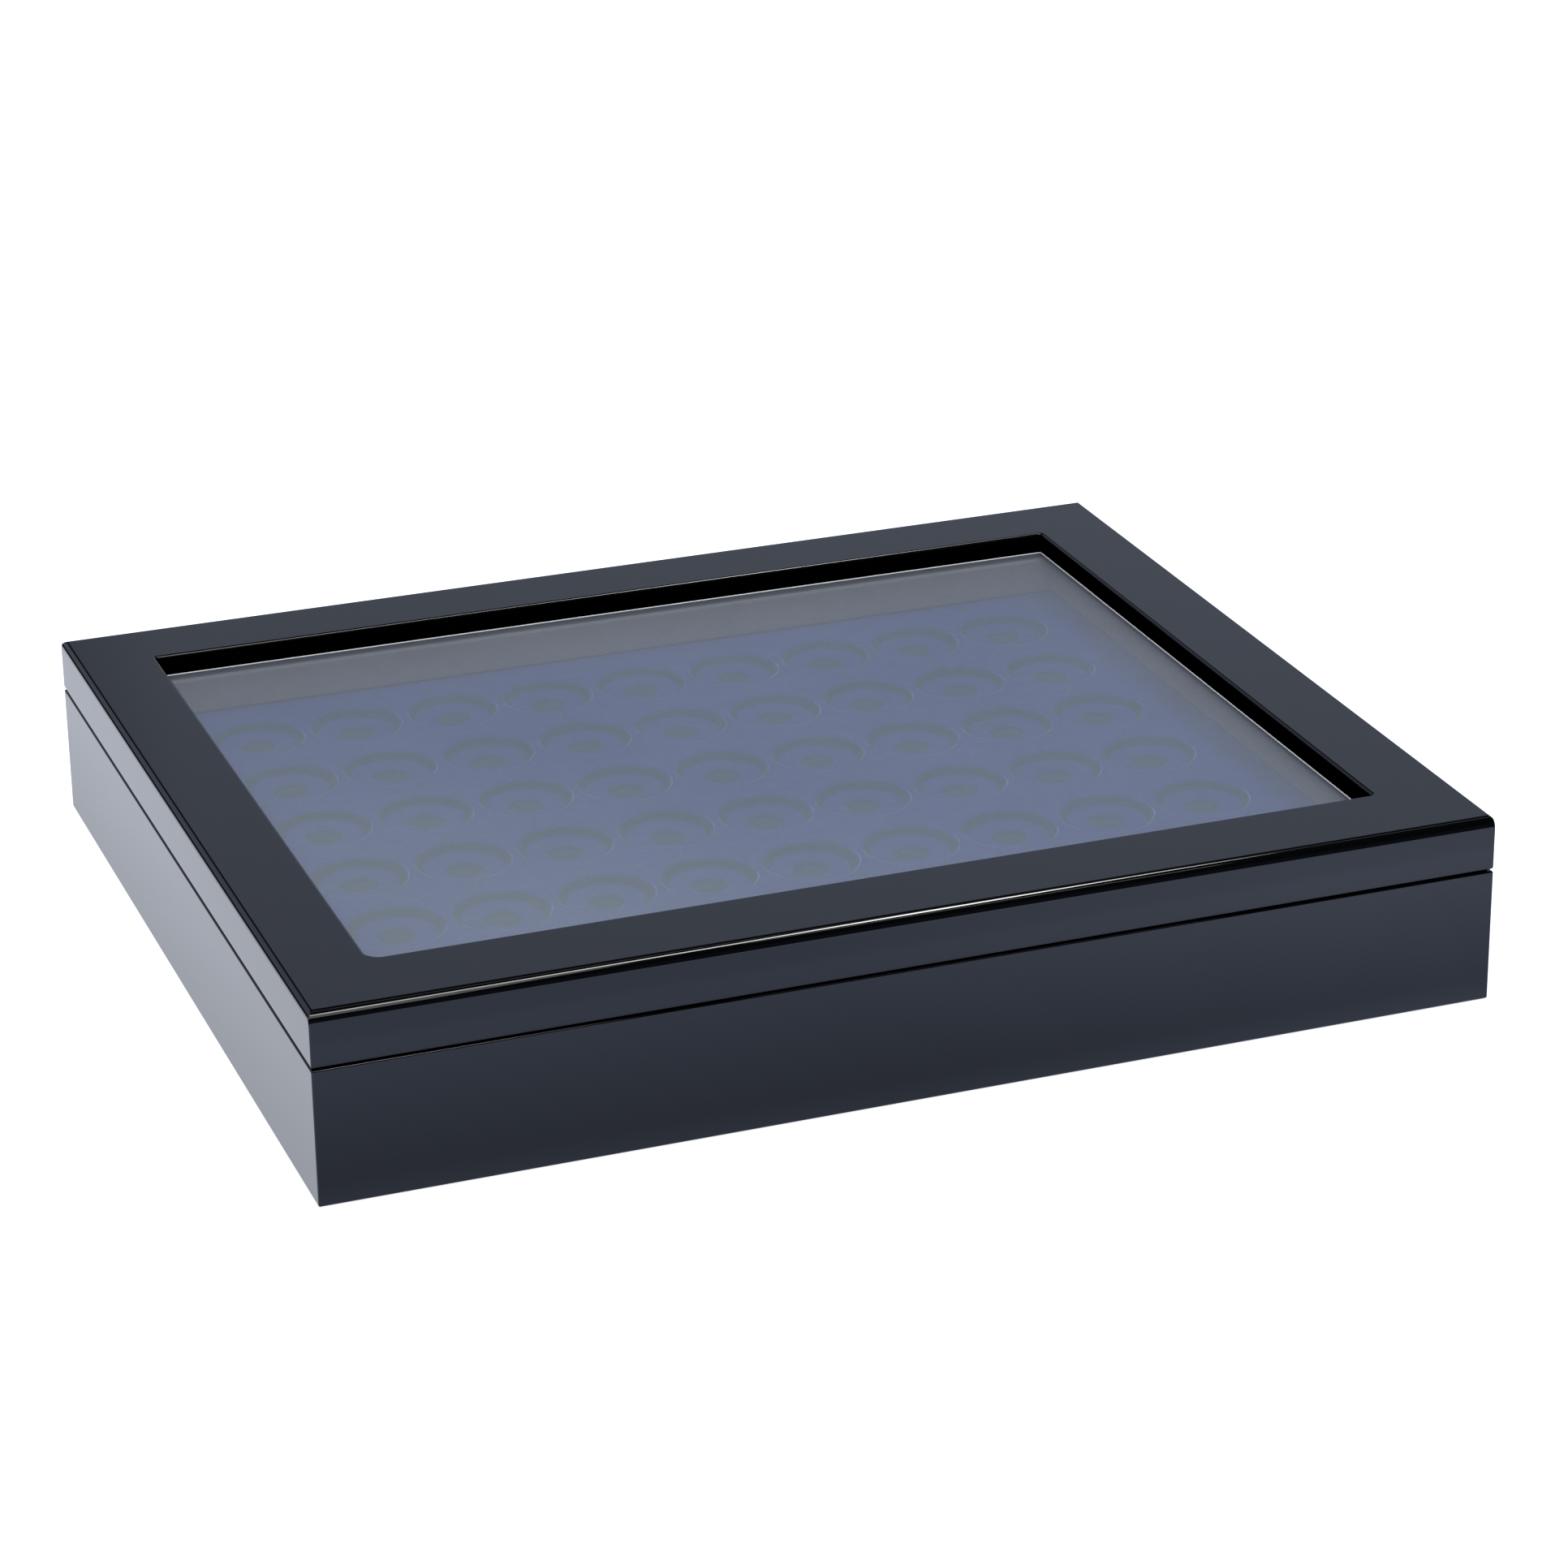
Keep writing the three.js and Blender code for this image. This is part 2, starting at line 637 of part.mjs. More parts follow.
ends.forEach((end) => {
  const side = end > 0 ? 'right' : 'left';
  const magnetRadius = magnetDiameter / 2;
  const padRadius = padDiameter / 2;
  addPiece(`base_magnet_${side}`, uprightRound(
    end * magnetX, magnetY,
    baseTop - magnetThickness, baseTop,
    magnetRadius, magnetRadius, discSides,
  ), magnetNickel);
  addPiece(`lid_magnet_${side}`, uprightRound(
    end * magnetX, magnetY,
    lidBottom, lidBottom + magnetThickness,
    magnetRadius, magnetRadius, discSides,
  ), magnetNickel);
  addPiece(`closing_pad_${side}`, uprightRound(
    end * padX, magnetY,
    baseTop - padSunk, baseTop - padSunk + padThickness,
    padRadius, padRadius, discSides,
  ), clearRubber);
});

export default displayCase;
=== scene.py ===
"""Dresses a lacquered display case: lid, window, flocked tray with round pockets, and its fittings."""

import json
import math

import bmesh
import bpy
from bpy.props import FloatProperty, FloatVectorProperty, IntProperty, PointerProperty
from mathutils import Matrix, Vector


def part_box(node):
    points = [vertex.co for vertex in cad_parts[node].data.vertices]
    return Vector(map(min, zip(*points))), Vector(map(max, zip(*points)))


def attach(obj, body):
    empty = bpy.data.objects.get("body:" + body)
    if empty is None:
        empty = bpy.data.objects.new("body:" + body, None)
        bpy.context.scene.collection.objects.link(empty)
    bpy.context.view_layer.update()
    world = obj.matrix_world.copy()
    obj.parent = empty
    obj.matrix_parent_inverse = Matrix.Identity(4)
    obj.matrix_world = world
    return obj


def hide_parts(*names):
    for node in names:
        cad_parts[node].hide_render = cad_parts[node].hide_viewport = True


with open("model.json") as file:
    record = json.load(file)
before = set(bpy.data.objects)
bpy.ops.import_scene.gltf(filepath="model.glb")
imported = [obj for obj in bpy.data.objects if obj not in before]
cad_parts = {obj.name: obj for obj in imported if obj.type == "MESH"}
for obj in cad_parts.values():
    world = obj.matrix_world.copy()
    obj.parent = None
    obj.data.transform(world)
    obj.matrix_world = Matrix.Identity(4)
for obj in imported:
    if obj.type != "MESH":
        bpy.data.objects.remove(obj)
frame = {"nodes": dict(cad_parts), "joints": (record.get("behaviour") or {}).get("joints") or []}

bl_info = {
    "name": "Lacquered Display Case",
    "version": (1, 0, 0),
    "blender": (4, 5, 0),
    "location": "View3D > Sidebar > Display Case",
    "description": "Builds the visible pieces of a display case with a flocked tray of round pockets",
    "category": "Object",
}

# One millimetre in the scene's metres, and one degree in radians
MM = 0.001
DEGREE = math.pi / 180

# How far a cutter stands out of the face that it cuts
CUT_OVER = 1 * MM
# Length at each end of a side over which its shading turns into the corner
END_SPAN = 3 * MM
# Slack when telling which faces line the window
HAIR = 0.05 * MM
# Distance within which the points of neighbouring tray cells are joined
WELD = 0.02 * MM
# Angle between faces from which an edge is shaded as sharp
SHARP_FROM = 35 * DEGREE
# Limits between which nearly all of a noise's values lie
NOISE_LOW, NOISE_HIGH = 0.3, 0.7

ENDS = ("left", "right")
SIDES = ("front", "right", "back", "left")
CORNER_SIGNS = ((1, -1), (1, 1), (-1, 1), (-1, -1))
UPRIGHT = (0.0, 0.0, 0.0)
UPSIDE_DOWN = (math.pi, 0.0, 0.0)
WHITE = (1.0, 1.0, 1.0, 1.0)


def lowest(node):
    """The lowest corner of a frame node's box."""
    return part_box(node)[0]


def highest(node):
    """The highest corner of a frame node's box."""
    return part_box(node)[1]


# The case, as the frame holds it
HALF_LENGTH = highest("base_right_wall").x
HALF_DEPTH = highest("base_back_wall").y
BASE_BOTTOM = lowest("base_front_wall").z
BASE_TOP = highest("base_front_wall").z
LID_BOTTOM = lowest("lid_front_rail").z
LID_TOP = highest("lid_front_rail").z
LONG_WALL = HALF_DEPTH + highest("base_front_wall").y
SIDE_WALL = HALF_LENGTH + highest("base_left_wall").x
PANE_LOW, PANE_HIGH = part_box("glass_pane")
LINER_BOTTOM = lowest("lid_back_liner").z
LINER_TOP = highest("lid_back_liner").z
TRAY_LOW = lowest("tray_board")
TRAY_HIGH = highest("tray_pocket_sheet")
PANEL_HIGH = highest("base_floor_panel")
FELT_LOW, FELT_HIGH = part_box("underside_felt")
HINGE_AXIS = Vector(frame["joints"][0]["pos_m"])


# Settings


def length(name, description, millimetres):
    """A length property, shown in the scene's units."""
    return FloatProperty(
        name=name, description=description, default=millimetres * MM, min=0, unit="LENGTH", precision=5
    )


def angle(name, description, degrees):
    """An angle property."""
    return FloatProperty(name=name, description=description, default=degrees * DEGREE, unit="ROTATION")


def level(name, description, default):
    """A plain number property, such as a brightness."""
    return FloatProperty(name=name, description=description, default=default, min=0)


def count(name, description, default, least=1):
    """A whole number property."""
    return IntProperty(name=name, description=description, default=default, min=least)


def colour(name, description, default, most=1.0):
    """A colour property, in linear values."""
    return FloatVectorProperty(
        name=name, description=description, default=default, subtype="COLOR", size=3, min=0, max=most
    )


class CaseSizes(bpy.types.PropertyGroup):
    """Edge rounding of the lacquered base and lid, and the felt's corners."""

    upright_edge_radius: length("Upright edge radius", "Rounding of the four upright corners", 0.4)
    least_corner_radius: length("Least corner radius", "Plan rounding left on the top face", 0.35)
    top_edge_radius: length("Top edge radius", "Rounding of the lid's left and back top edges", 2.3)
    right_edge_radius: length("Right edge radius", "Rounding of the lid's right top edge", 1.2)
    front_edge_radius: length("Front edge radius", "Rounding of the lid's front top edge", 3.8)
    lid_seam_radius: length("Lid seam radius", "Rounding of the lid's edge at the seam", 1)
    base_seam_radius: length("Base seam radius", "Rounding of the base's edge at the seam", 0.6)
    bottom_edge_radius: length("Bottom edge radius", "Rounding of the base's bottom edge", 0.8)
    foot_height: length("Foot height", "How far the lip round the felt stands above its underside", 0.1)
    inner_edge_radius: length("Inner edge radius", "Rounding of the rims' inner edges", 0.4)
    felt_corner_radius: length("Felt corner radius", "Plan rounding of the felt's corners", 3)
    joint_gap: length("Joint gap", "Gap between a glued piece and its seat", 0.3)
    edge_steps: count("Edge steps", "Steps in a rounded edge", 8, 2)
    corner_steps: count("Corner steps", "Steps in a rounded corner", 10, 2)


class LidSizes(bpy.types.PropertyGroup):
    """Rails, window and liner of the lid."""

    front_rail: length("Front rail", "Width of the lid's front rail", 33)
    side_rail: length("Side rail", "Width of the lid's left and right rails", 28)
    back_rail: length("Back rail", "Width of the lid's back rail", 29)
    closing_clearance: length("Closing clearance", "How far the lid's skirt stands in from the wall", 0.5)
    window_edge_radius: length("Window edge radius", "Rounding of the window's top edge", 1.1)
    window_corner_radius: length("Window corner radius", "Plan rounding of three window corners", 1)
    front_left_corner_radius: length("Front left corner radius", "Plan rounding of the other corner", 5)
    pane_edge_radius: length("Pane edge radius", "Polish on the pane's edges", 0.3)
    # The bead's pale colour is a painted highlight along the pane's edge
    bead_width: length("Bead width", "How far the clear bead shows inside the window", 0.3)
    bead_under_lip: length("Bead under lip", "How far the bead reaches under the lip", 0.6)
    bead_gap: length("Bead gap", "Gap between the bead and the pane or the lip", 0.02)
    liner_edge_radius: length("Liner edge radius", "Softness of the cloth-wrapped edges", 1.1)


class TraySizes(bpy.types.PropertyGroup):
    """The flocked tray and its pockets."""

    columns: count("Columns", "Pockets in a row", 9)
    rows: count("Rows", "Rows of pockets", 6)
    column_pitch: length("Column pitch", "Spacing of the pockets from left to right", 35.9)
    row_pitch: length("Row pitch", "Spacing of the pockets from front to back", 43.6)
    cell_margin: length("Cell margin", "How far a pocket's outermost ring stays inside its cell", 0.1)
    pocket_diameter: length("Pocket diameter", "Width of a pocket at the tray's top", 31.8)
    pocket_depth: length("Pocket depth", "Depth of a pocket's floor below the tray's top", 3.1)
    pocket_lean: length("Pocket lean", "How far a pocket's wall leans in to its floor", 1.8)
    rim_softness: length("Rim softness", "Roundness of a pocket's rim", 1.7)
    floor_softness: length("Floor softness", "Roundness where a pocket's wall meets its floor", 1.6)
    dimple_diameter: length("Dimple diameter", "Width of the hollow in a pocket's floor", 13)
    dimple_depth: length("Dimple depth", "Depth of the hollow below the floor", 1.3)
    dimple_softness: length("Dimple softness", "Roundness of the hollow's edge", 1.6)
    outer_edge_radius: length("Outer edge radius", "Rounding of the tray's own edge", 1.2)
    unevenness: length("Unevenness", "How far the flocked top strays from true", 0.35)
    # Painted shade: height over which the darker flock on a pocket's wall blends in
    painted_shade_blend: length("Recess blend", "Height over which the flock's colour changes in a pocket", 0.9)
    # Painted highlight: width of the pale line on a pocket's front rim, and how far it strays
    rim_line_width: length("Rim line width", "Width of the worn line on a pocket's rim", 0.5)
    rim_wander: length("Rim wander", "Span of the noise that makes the worn line stray", 1.2)
    slit_width: length("Slit width", "Width of the thin line between two pockets", 0.6)
    slit_bow: length("Slit bow", "How far that line bows to the left", 1.8)
    seed: count("Seed", "Picks the unevenness", 7)


class FittingSizes(bpy.types.PropertyGroup):
    """Hinges, screws, magnets and pads."""

    leaf_width: length("Leaf width", "Reach of a hinge leaf in from the back", 14)
    leaf_length: length("Leaf length", "Length of a hinge", 40)
    leaf_thickness: length("Leaf thickness", "Thickness of a hinge leaf", 1.2)
    leaf_face_gap: length("Leaf face gap", "Gap between the closed leaves", 0.3)
    leaf_corner_radius: length("Leaf corner radius", "Plan rounding of a leaf's inner corners", 1.2)
    leaf_chamfer: length("Leaf chamfer", "Chamfer round a leaf", 0.12)
    knuckle_diameter: length("Knuckle diameter", "Outside of the hinge's barrel", 5)
    middle_knuckle_length: length("Middle knuckle length", "Length of the lid's knuckle", 16)
    knuckle_gap: length("Knuckle gap", "Gap between knuckles", 0.3)
    pin_diameter: length("Pin diameter", "Thickness of the hinge pin", 2.4)
    bore_clearance: length("Bore clearance", "Radial clearance of a bore", 0.3)
    pin_head_diameter: length("Pin head diameter", "Width of the pin's heads", 3.8)
    pin_head_thickness: length("Pin head thickness", "Height of the pin's domed heads", 0.6)
    screw_head_diameter: length("Screw head diameter", "Width of a countersunk head", 4.4)
    screw_head_edge: length("Screw head edge", "Chamfer round that head", 0.1)
    screw_shank_diameter: length("Screw shank diameter", "Thickness of a screw", 2)
    screw_length: length("Screw length", "Length of a screw", 9)
    screw_point: length("Screw point", "Length of a screw's point", 2)
    thread_pitch: length("Thread pitch", "Rise of the screw thread in one turn", 0.9)
    thread_depth: length("Thread depth", "Depth of the screw thread", 0.25)
    recess_width: length("Recess width", "Width of a screw's crossed driver recess", 0.7)
    recess_length: length("Recess length", "Length of that recess", 2.4)
    recess_depth: length("Recess depth", "Depth of that recess", 0.7)
    magnet_chamfer: length("Magnet chamfer", "Chamfer round a magnet's faces", 0.25)
    round_steps: count("Round steps", "Steps round a turned piece", 32, 8)


class Finishes(bpy.types.PropertyGroup):
    """Colours of the case's finishes."""

    lacquer: colour("Lacquer", "Black gloss lacquer", (0.0016, 0.0019, 0.0024))
    reveal: colour("Reveal", "Matt black inside the window", (0.0002, 0.0003, 0.0005))
    flock: colour("Flock", "Blue flock on the tray's top", (0.024, 0.047, 0.182))
    # Painted shade: darker, greener flock on a pocket's wall and in its hollow
    flock_painted_shade: colour("Flock in recesses", "The same flock on a pocket's wall", (0.018, 0.047, 0.078))
    # Pale flock for the painted highlight on the pockets' front rims and for the paler slit lines
    flock_lightened: colour("Worn flock", "Flock worn thin on the rims", (0.17, 0.26, 0.5))
    flock_sheen: colour("Flock sheen", "What the tips of the pile catch", (0.6, 0.7, 1.0))
    liner: colour("Liner cloth", "Grey cloth behind and beside the tray", (0.17, 0.157, 0.145))
    haze: colour("Window haze", "What the pane scatters", (0.525, 0.598, 0.74))
    # Painted light: the haze painted paler towards the front left corner
    haze_painted_light: colour("Pale window haze", "The same towards the front left corner", (0.63, 0.715, 0.82))
    # Painted highlight: pale colour of the bead, standing for the bright line where the pane meets the
    # window's edge
    bead: colour("Window bead", "Pale bead round the pane", (0.93, 0.95, 0.98))
    felt: colour("Felt", "Black felt under the case", (0.012, 0.012, 0.013))
    fibreboard: colour("Fibreboard", "Boards inside the case", (0.27, 0.17, 0.08))
    card: colour("Backing card", "Dark card under the tray", (0.02, 0.021, 0.024))
    nickel: colour("Nickel", "Hinges and screws", (0.62, 0.61, 0.58))
    magnet: colour("Magnet plating", "Bright plating of the magnets", (0.7, 0.7, 0.69))
    pad: colour("Pad", "Closing pads", (0.35, 0.36, 0.37))


class StageSettings(bpy.types.PropertyGroup):
    """Camera, lamps and floor."""

    camera_place: FloatVectorProperty(
        name="Camera place", description="Where the camera stands", size=3, unit="LENGTH",
        default=(-0.5117, -1.4289, 0.6781), precision=4,
    )
    camera_azimuth: angle("Camera azimuth", "How far the view turns to the right", 20.234)
    camera_drop: angle("Camera drop", "How far the view looks down", 22.712)
    camera_roll: angle("Camera roll", "Turn of the picture about the view", -0.712)
    camera_lens: level("Camera lens", "Focal length on a 36 mm wide picture, in millimetres", 109.455)
    key_level: level("Key level", "Brightness of the long strip overhead", 24)
    strip_level: level("Strip level", "Brightness of the short strip before it", 2.6)
    back_level: level("Back level", "Brightness of the faint strip at the back", 0.8)
    front_level: level("Front level", "Brightness of the panel in front", 1.8)
    side_level: level("Side level", "Brightness of the panel at the left", 1.6)
    fill_level: level("Fill level", "Soft light from all round", 0.285)
    backdrop_level: level("Backdrop level", "What gloss shows of the backdrop behind the case", 0.4)
    floor_lift: level("Floor lift", "White that the camera sees the floor add to its own", 0.8)
    floor_reach: length("Floor reach", "How far the floor spreads to each side", 9000)
    floor_drop: length("Floor drop", "How far the floor lies below the felt, to keep clear of it", 0.05)
    floor_colour: colour("Floor", "Pale floor", (0.72, 0.78, 0.9))
    front_glow: colour("Front glow", "Floor that gloss shows in front of the case", (0.75, 0.87, 1.2), 2)
    left_glow: colour("Left glow", "Floor that gloss shows left of the case", (1.115, 1.18, 1.33), 2)
    backdrop: colour("Backdrop", "Backdrop that gloss shows behind the case", (0.87, 0.98, 1.25), 2)


PROPERTY_GROUPS = {
    "display_case": CaseSizes,
    "display_case_lid": LidSizes,
    "display_case_tray": TraySizes,
    "display_case_fittings": FittingSizes,
    "display_case_finishes": Finishes,
    "display_case_stage": StageSettings,
}


def settings(name="display_case"):
    """One of the scene's groups of settings."""
    return getattr(bpy.context.scene, name)


# Profiles and plans


def arc(along, up, radius, start, end, steps):
    """Points of an arc about (along, up), from one angle to another in degrees."""
    points = []
    for step in range(steps + 1):
        turn = (start + (end - start) * step / steps) * DEGREE
        points.append((along + radius * math.cos(turn), up + radius * math.sin(turn)))
    return points


def softened(corners, steps):
    """An open outline whose inner corners, each (along, up, softness), are curved over their softness."""
    points = [Vector(corners[0][:2])]
    for before, corner, after in zip(corners, corners[1:], corners[2:]):
        tip = Vector(corner[:2])
        start = tip + (Vector(before[:2]) - tip).normalized() * corner[2]
        end = tip + (Vector(after[:2]) - tip).normalized() * corner[2]
        for step in range(steps + 1):
            share = step / steps
            points.append(start * (1 - share) ** 2 + tip * 2 * share * (1 - share) + end * share**2)
    points.append(Vector(corners[-1][:2]))
    return points


def rounded_corners(low, high, radii, z, steps):
    """Level points round each corner of a rectangle, anticlockwise from its front right corner."""
    corners = []
    for corner, (right, back) in enumerate(CORNER_SIGNS):
        radius = radii[corner]
        centre_x = (high[0] if right > 0 else low[0]) - right * radius
        centre_y = (high[1] if back > 0 else low[1]) - back * radius
        start = 90 * (corner - 1)
        places = arc(centre_x, centre_y, radius, start, start + 90, steps)
        corners.append([Vector((x, y, z)) for x, y in places])
    return corners


def rounded_rectangle(low, high, radii, z, steps):
    """Level points round a rectangle with rounded corners, in one loop."""
    return [point for corner in rounded_corners(low, high, radii, z, steps) for point in corner]


def inset_loop(insets, radii, z, steps):
    """A level loop inset from the case's faces, with one more point near each end of a side."""
    front, right, back, left = insets
    low = (left - HALF_LENGTH, front - HALF_DEPTH)
    high = (HALF_LENGTH - right, HALF_DEPTH - back)
    corners = rounded_corners(low, high, radii, z, steps)
    points = []
    for corner, following in zip(corners, corners[1:] + corners[:1]):
        along = (following[0] - corner[-1]).normalized() * END_SPAN
        points += corner + [corner[-1] + along, following[0] - along]
    return points


def outer_radii(inset):
    """Plan radii of the case's four corners, which shrink as the loop draws in from its faces."""
    sizes = settings()
    shrinkage = 0.6 * inset
    return [max(sizes.upright_edge_radius - shrinkage, sizes.least_corner_radius)] * 4


def outer_loops(profile):
    """Level loops that follow the case's own outline, from a profile of (inset, height)."""
    steps = settings().corner_steps
    return [inset_loop([inset] * 4, outer_radii(inset), z, steps) for inset, z in profile]


def inner_loops(profile, insets, radii):
    """Level loops that follow an inner outline, from a profile of (further inset, height)."""
    sizes = settings()
    loops = []
    for further, z in profile:
        shrunk = [max(radius - further, sizes.least_corner_radius) for radius in radii]
        loops.append(inset_loop([inset + further for inset in insets], shrunk, z, sizes.corner_steps))
    return loops


def plate_loops(low, high, profile, radius, steps):
    """Level loops of a rectangular plate, from a profile of (inset, height)."""
    loops = []
    for inset, z in profile:
        near = (low.x + inset, low.y + inset)
        far = (high.x - inset, high.y - inset)
        loops.append(rounded_rectangle(near, far, [radius] * 4, z, steps))
    return loops


# Solids


def piece_from(name, shape):
    """A new object in the scene from a finished mesh shape."""
    mesh = bpy.data.meshes.new(name)
    shape.to_mesh(mesh)
    shape.free()
    piece = bpy.data.objects.new(name, mesh)
    bpy.context.scene.collection.objects.link(piece)
    return piece


def lofted(name, loops, ring=True):
    """A piece through level loops: a ring back to its first loop, or a plate with its ends capped."""
    shape = bmesh.new()
    rows = [[shape.verts.new(point) for point in loop] for loop in loops]
    pairs = list(zip(rows, rows[1:]))
    if ring:
        pairs.append((rows[-1], rows[0]))
    else:
        shape.faces.new(list(reversed(rows[0])))
        shape.faces.new(rows[-1])
    for lower, upper in pairs:
        for place, corner in enumerate(lower):
            after = (place + 1) % len(lower)
            shape.faces.new((corner, lower[after], upper[after], upper[place]))
    bmesh.ops.recalc_face_normals(shape, faces=shape.faces[:])
    return piece_from(name, shape)


def turned(shape, profile, matrix=Matrix.Identity(4)):
    """Adds a turned solid from a profile of (radius, height): from pole to pole, or a closed ring."""
    steps = settings("display_case_fittings").round_steps
    rows = []
    for radius, height in profile:
        if radius == 0:
            rows.append([shape.verts.new(matrix @ Vector((0, 0, height)))] * steps)
            continue
        turns = [2 * math.pi * step / steps for step in range(steps)]
        places = [Vector((radius * math.cos(turn), radius * math.sin(turn), height)) for turn in turns]
        rows.append([shape.verts.new(matrix @ place) for place in places])
    pairs = list(zip(rows, rows[1:]))
    if profile[0][0] > 0:
        pairs.append((rows[-1], rows[0]))
    made = []
    for lower, upper in pairs:
        for step in range(steps):
            after = (step + 1) % steps
            corners = [lower[step], lower[after], upper[after], upper[step]]
            corners = [corner for place, corner in enumerate(corners) if corner not in corners[:place]]
            made.append(shape.faces.new(corners))
    bmesh.ops.recalc_face_normals(shape, faces=made)


def turned_piece(name, profile):
    """A piece of its own, turned about the upright axis."""
    shape = bmesh.new()
    turned(shape, profile)
    return piece_from(name, shape)


def block(shape, low, high):
    """Adds a plain box."""
    low, high = Vector(low), Vector(high)
    scale = Matrix.Diagonal((*(high - low), 1))
    bmesh.ops.create_cube(shape, size=1, matrix=Matrix.Translation((low + high) / 2) @ scale)


def settle(piece):
    """Turns a piece's modifiers into plain mesh."""
    depsgraph = bpy.context.evaluated_depsgraph_get()
    mesh = bpy.data.meshes.new_from_object(piece.evaluated_get(depsgraph))
    mesh.name = piece.name
    piece.modifiers.clear()
    piece.data = mesh


def cut(piece, shape):
    """Cuts a shape out of a piece."""
    cutter = piece_from("cutter", shape)
    change = piece.modifiers.new("cut", "BOOLEAN")
    change.object = cutter
    change.solver = "EXACT"
    settle(piece)
    bpy.data.objects.remove(cutter)


def even_shading(piece):
    """Smooth shading that keeps flat faces flat and sharp edges sharp."""
    piece.data.shade_smooth()
    piece.data.set_sharp_from_angle(angle=SHARP_FROM)
    piece.modifiers.new("even shading", "WEIGHTED_NORMAL").keep_sharp = True
    settle(piece)


def dress(piece, body, slot, nodes=(), finish=None):
    """Gives a piece its finish, which is the slot's finish unless another is given, sets it on its body and
    hides the frame nodes that it stands for.
    """
    piece.data.materials.clear()
    piece.data.materials.append(finish_material(finish or slot))
    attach(piece, body)
    if nodes:
        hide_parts(*nodes)


# Node trees


def add_node(tree, kind, inputs=None, **choices):
    """Adds a node with its choices made, and each named input set to a value or linked to a socket."""
    node = tree.nodes.new(kind)
    for name, choice in choices.items():
        setattr(node, name, choice)
    for name, value in (inputs or {}).items():
        if isinstance(value, bpy.types.NodeSocket):
            tree.links.new(value, node.inputs[name])
        else:
            node.inputs[name].default_value = value
    return node


def maths(tree, operation, *values):
    """The result of a Math node on numbers or sockets."""
    return add_node(tree, "ShaderNodeMath", dict(enumerate(values)), operation=operation).outputs[0]


def product(tree, *values):
    """All of the values multiplied."""
    result = values[0]
    for value in values[1:]:
        result = maths(tree, "MULTIPLY", result, value)
    return result


def mapped(tree, value, low, high, to_low, to_high):
    """A value moved from one range to another, held at its ends."""
    inputs = {"Value": value, "From Min": low, "From Max": high, "To Min": to_low, "To Max": to_high}
    return add_node(tree, "ShaderNodeMapRange", inputs).outputs["Result"]


def ranged(tree, value, low, high):
    """A noise spread between two levels."""
    return mapped(tree, value, NOISE_LOW, NOISE_HIGH, low, high)


def noise(tree, place, scale, detail=2.0, roughness=0.5):
    """A noise value, with scale as features in a metre."""
    inputs = {"Vector": place, "Scale": scale, "Detail": detail, "Roughness": roughness}
    return add_node(tree, "ShaderNodeTexNoise", inputs).outputs["Fac"]


def blended(tree, factor, first, second, blend="MIX"):
    """Two colours mixed by a factor."""
    inputs = {0: factor, 6: first, 7: second}
    return add_node(tree, "ShaderNodeMix", inputs, data_type="RGBA", blend_type=blend).outputs[2]


def opaque(rgb):
    """A colour with its alpha."""
    return (*rgb, 1.0)


def finish_colour(name):
    """One of the colours in the settings."""
    return opaque(getattr(settings("display_case_finishes"), name))


def shaded(tree, rgb, value, low, high):
    """A colour made darker or lighter by a noise, from low to high times itself."""
    grey = ranged(tree, value, low, high)
    grey = add_node(tree, "ShaderNodeCombineXYZ", {0: grey, 1: grey, 2: grey}).outputs[0]
    return blended(tree, 1.0, rgb, grey, "MULTIPLY")


def bumped(tree, height, distance, strength=1.0, normal=None):
    """A surface normal bumped by a height."""
    inputs = {"Height": height, "Distance": distance, "Strength": strength}
    if normal is not None:
        inputs["Normal"] = normal
    return add_node(tree, "ShaderNodeBump", inputs).outputs["Normal"]


def axes_of(tree, place):
    """A place's three coordinates."""
    return add_node(tree, "ShaderNodeSeparateXYZ", {0: place}).outputs


def shader(tree, kind, inputs=None):
    """The output of a shader node."""
    return add_node(tree, f"ShaderNode{kind}", inputs).outputs[0]


def mixed(tree, factor, first, second):
    """Two shaders mixed by a factor."""
    return shader(tree, "MixShader", {0: factor, 1: first, 2: second})


def new_material(name):
    """A material with an empty node tree, and its place on the object."""
    material = bpy.data.materials.new(name)
    material.use_nodes = True
    tree = material.node_tree
    tree.nodes.clear()
    return tree, add_node(tree, "ShaderNodeTexCoord").outputs["Object"]


def show(tree, surface):
    """Makes a shader the tree's result."""
    add_node(tree, "ShaderNodeOutputMaterial", {"Surface": surface})


# Finishes


def black_lacquer(name):
    """Deep black piano lacquer: mirror gloss with a trace of ripple and polishing haze."""
    tree, place = new_material(name)
    show(tree, shader(tree, "BsdfPrincipled", {
        "Base Color": finish_colour("lacquer"),
        "Roughness": ranged(tree, noise(tree, place, 34.0, 4.0, 0.6), 0.03, 0.06),
        "IOR": 1.5,
        "Normal": bumped(tree, noise(tree, place, 220.0, 1.0), 0.004 * MM, 0.5),
    }))


def window_glass(name):
    """The pane: clear, with a faint haze, painted light that makes the haze paler towards one corner, and a
    soft shine.
    """
    tree, place = new_material(name)
    axes = axes_of(tree, place)
    # Where the painted light on the haze is at its palest and where it has faded, as a sum of the two level
    # coordinates
    palest, faded = -0.22, -0.04
    towards_lit_corner = mapped(tree, maths(tree, "ADD", axes["X"], axes["Y"]), palest, faded, 1.0, 0.0)
    haze = blended(tree, towards_lit_corner, finish_colour("haze"), finish_colour("haze_painted_light"))
    shine = shader(tree, "BsdfPrincipled", {
        "Base Color": shaded(tree, haze, noise(tree, place, 14.0, 3.0), 0.97, 1.03),
        "Roughness": ranged(tree, noise(tree, place, 900.0, 3.0), 0.2, 0.26),
        "IOR": 1.5,
    })
    haze_share = 0.17
    show(tree, mixed(tree, haze_share, shader(tree, "BsdfTransparent"), shine))


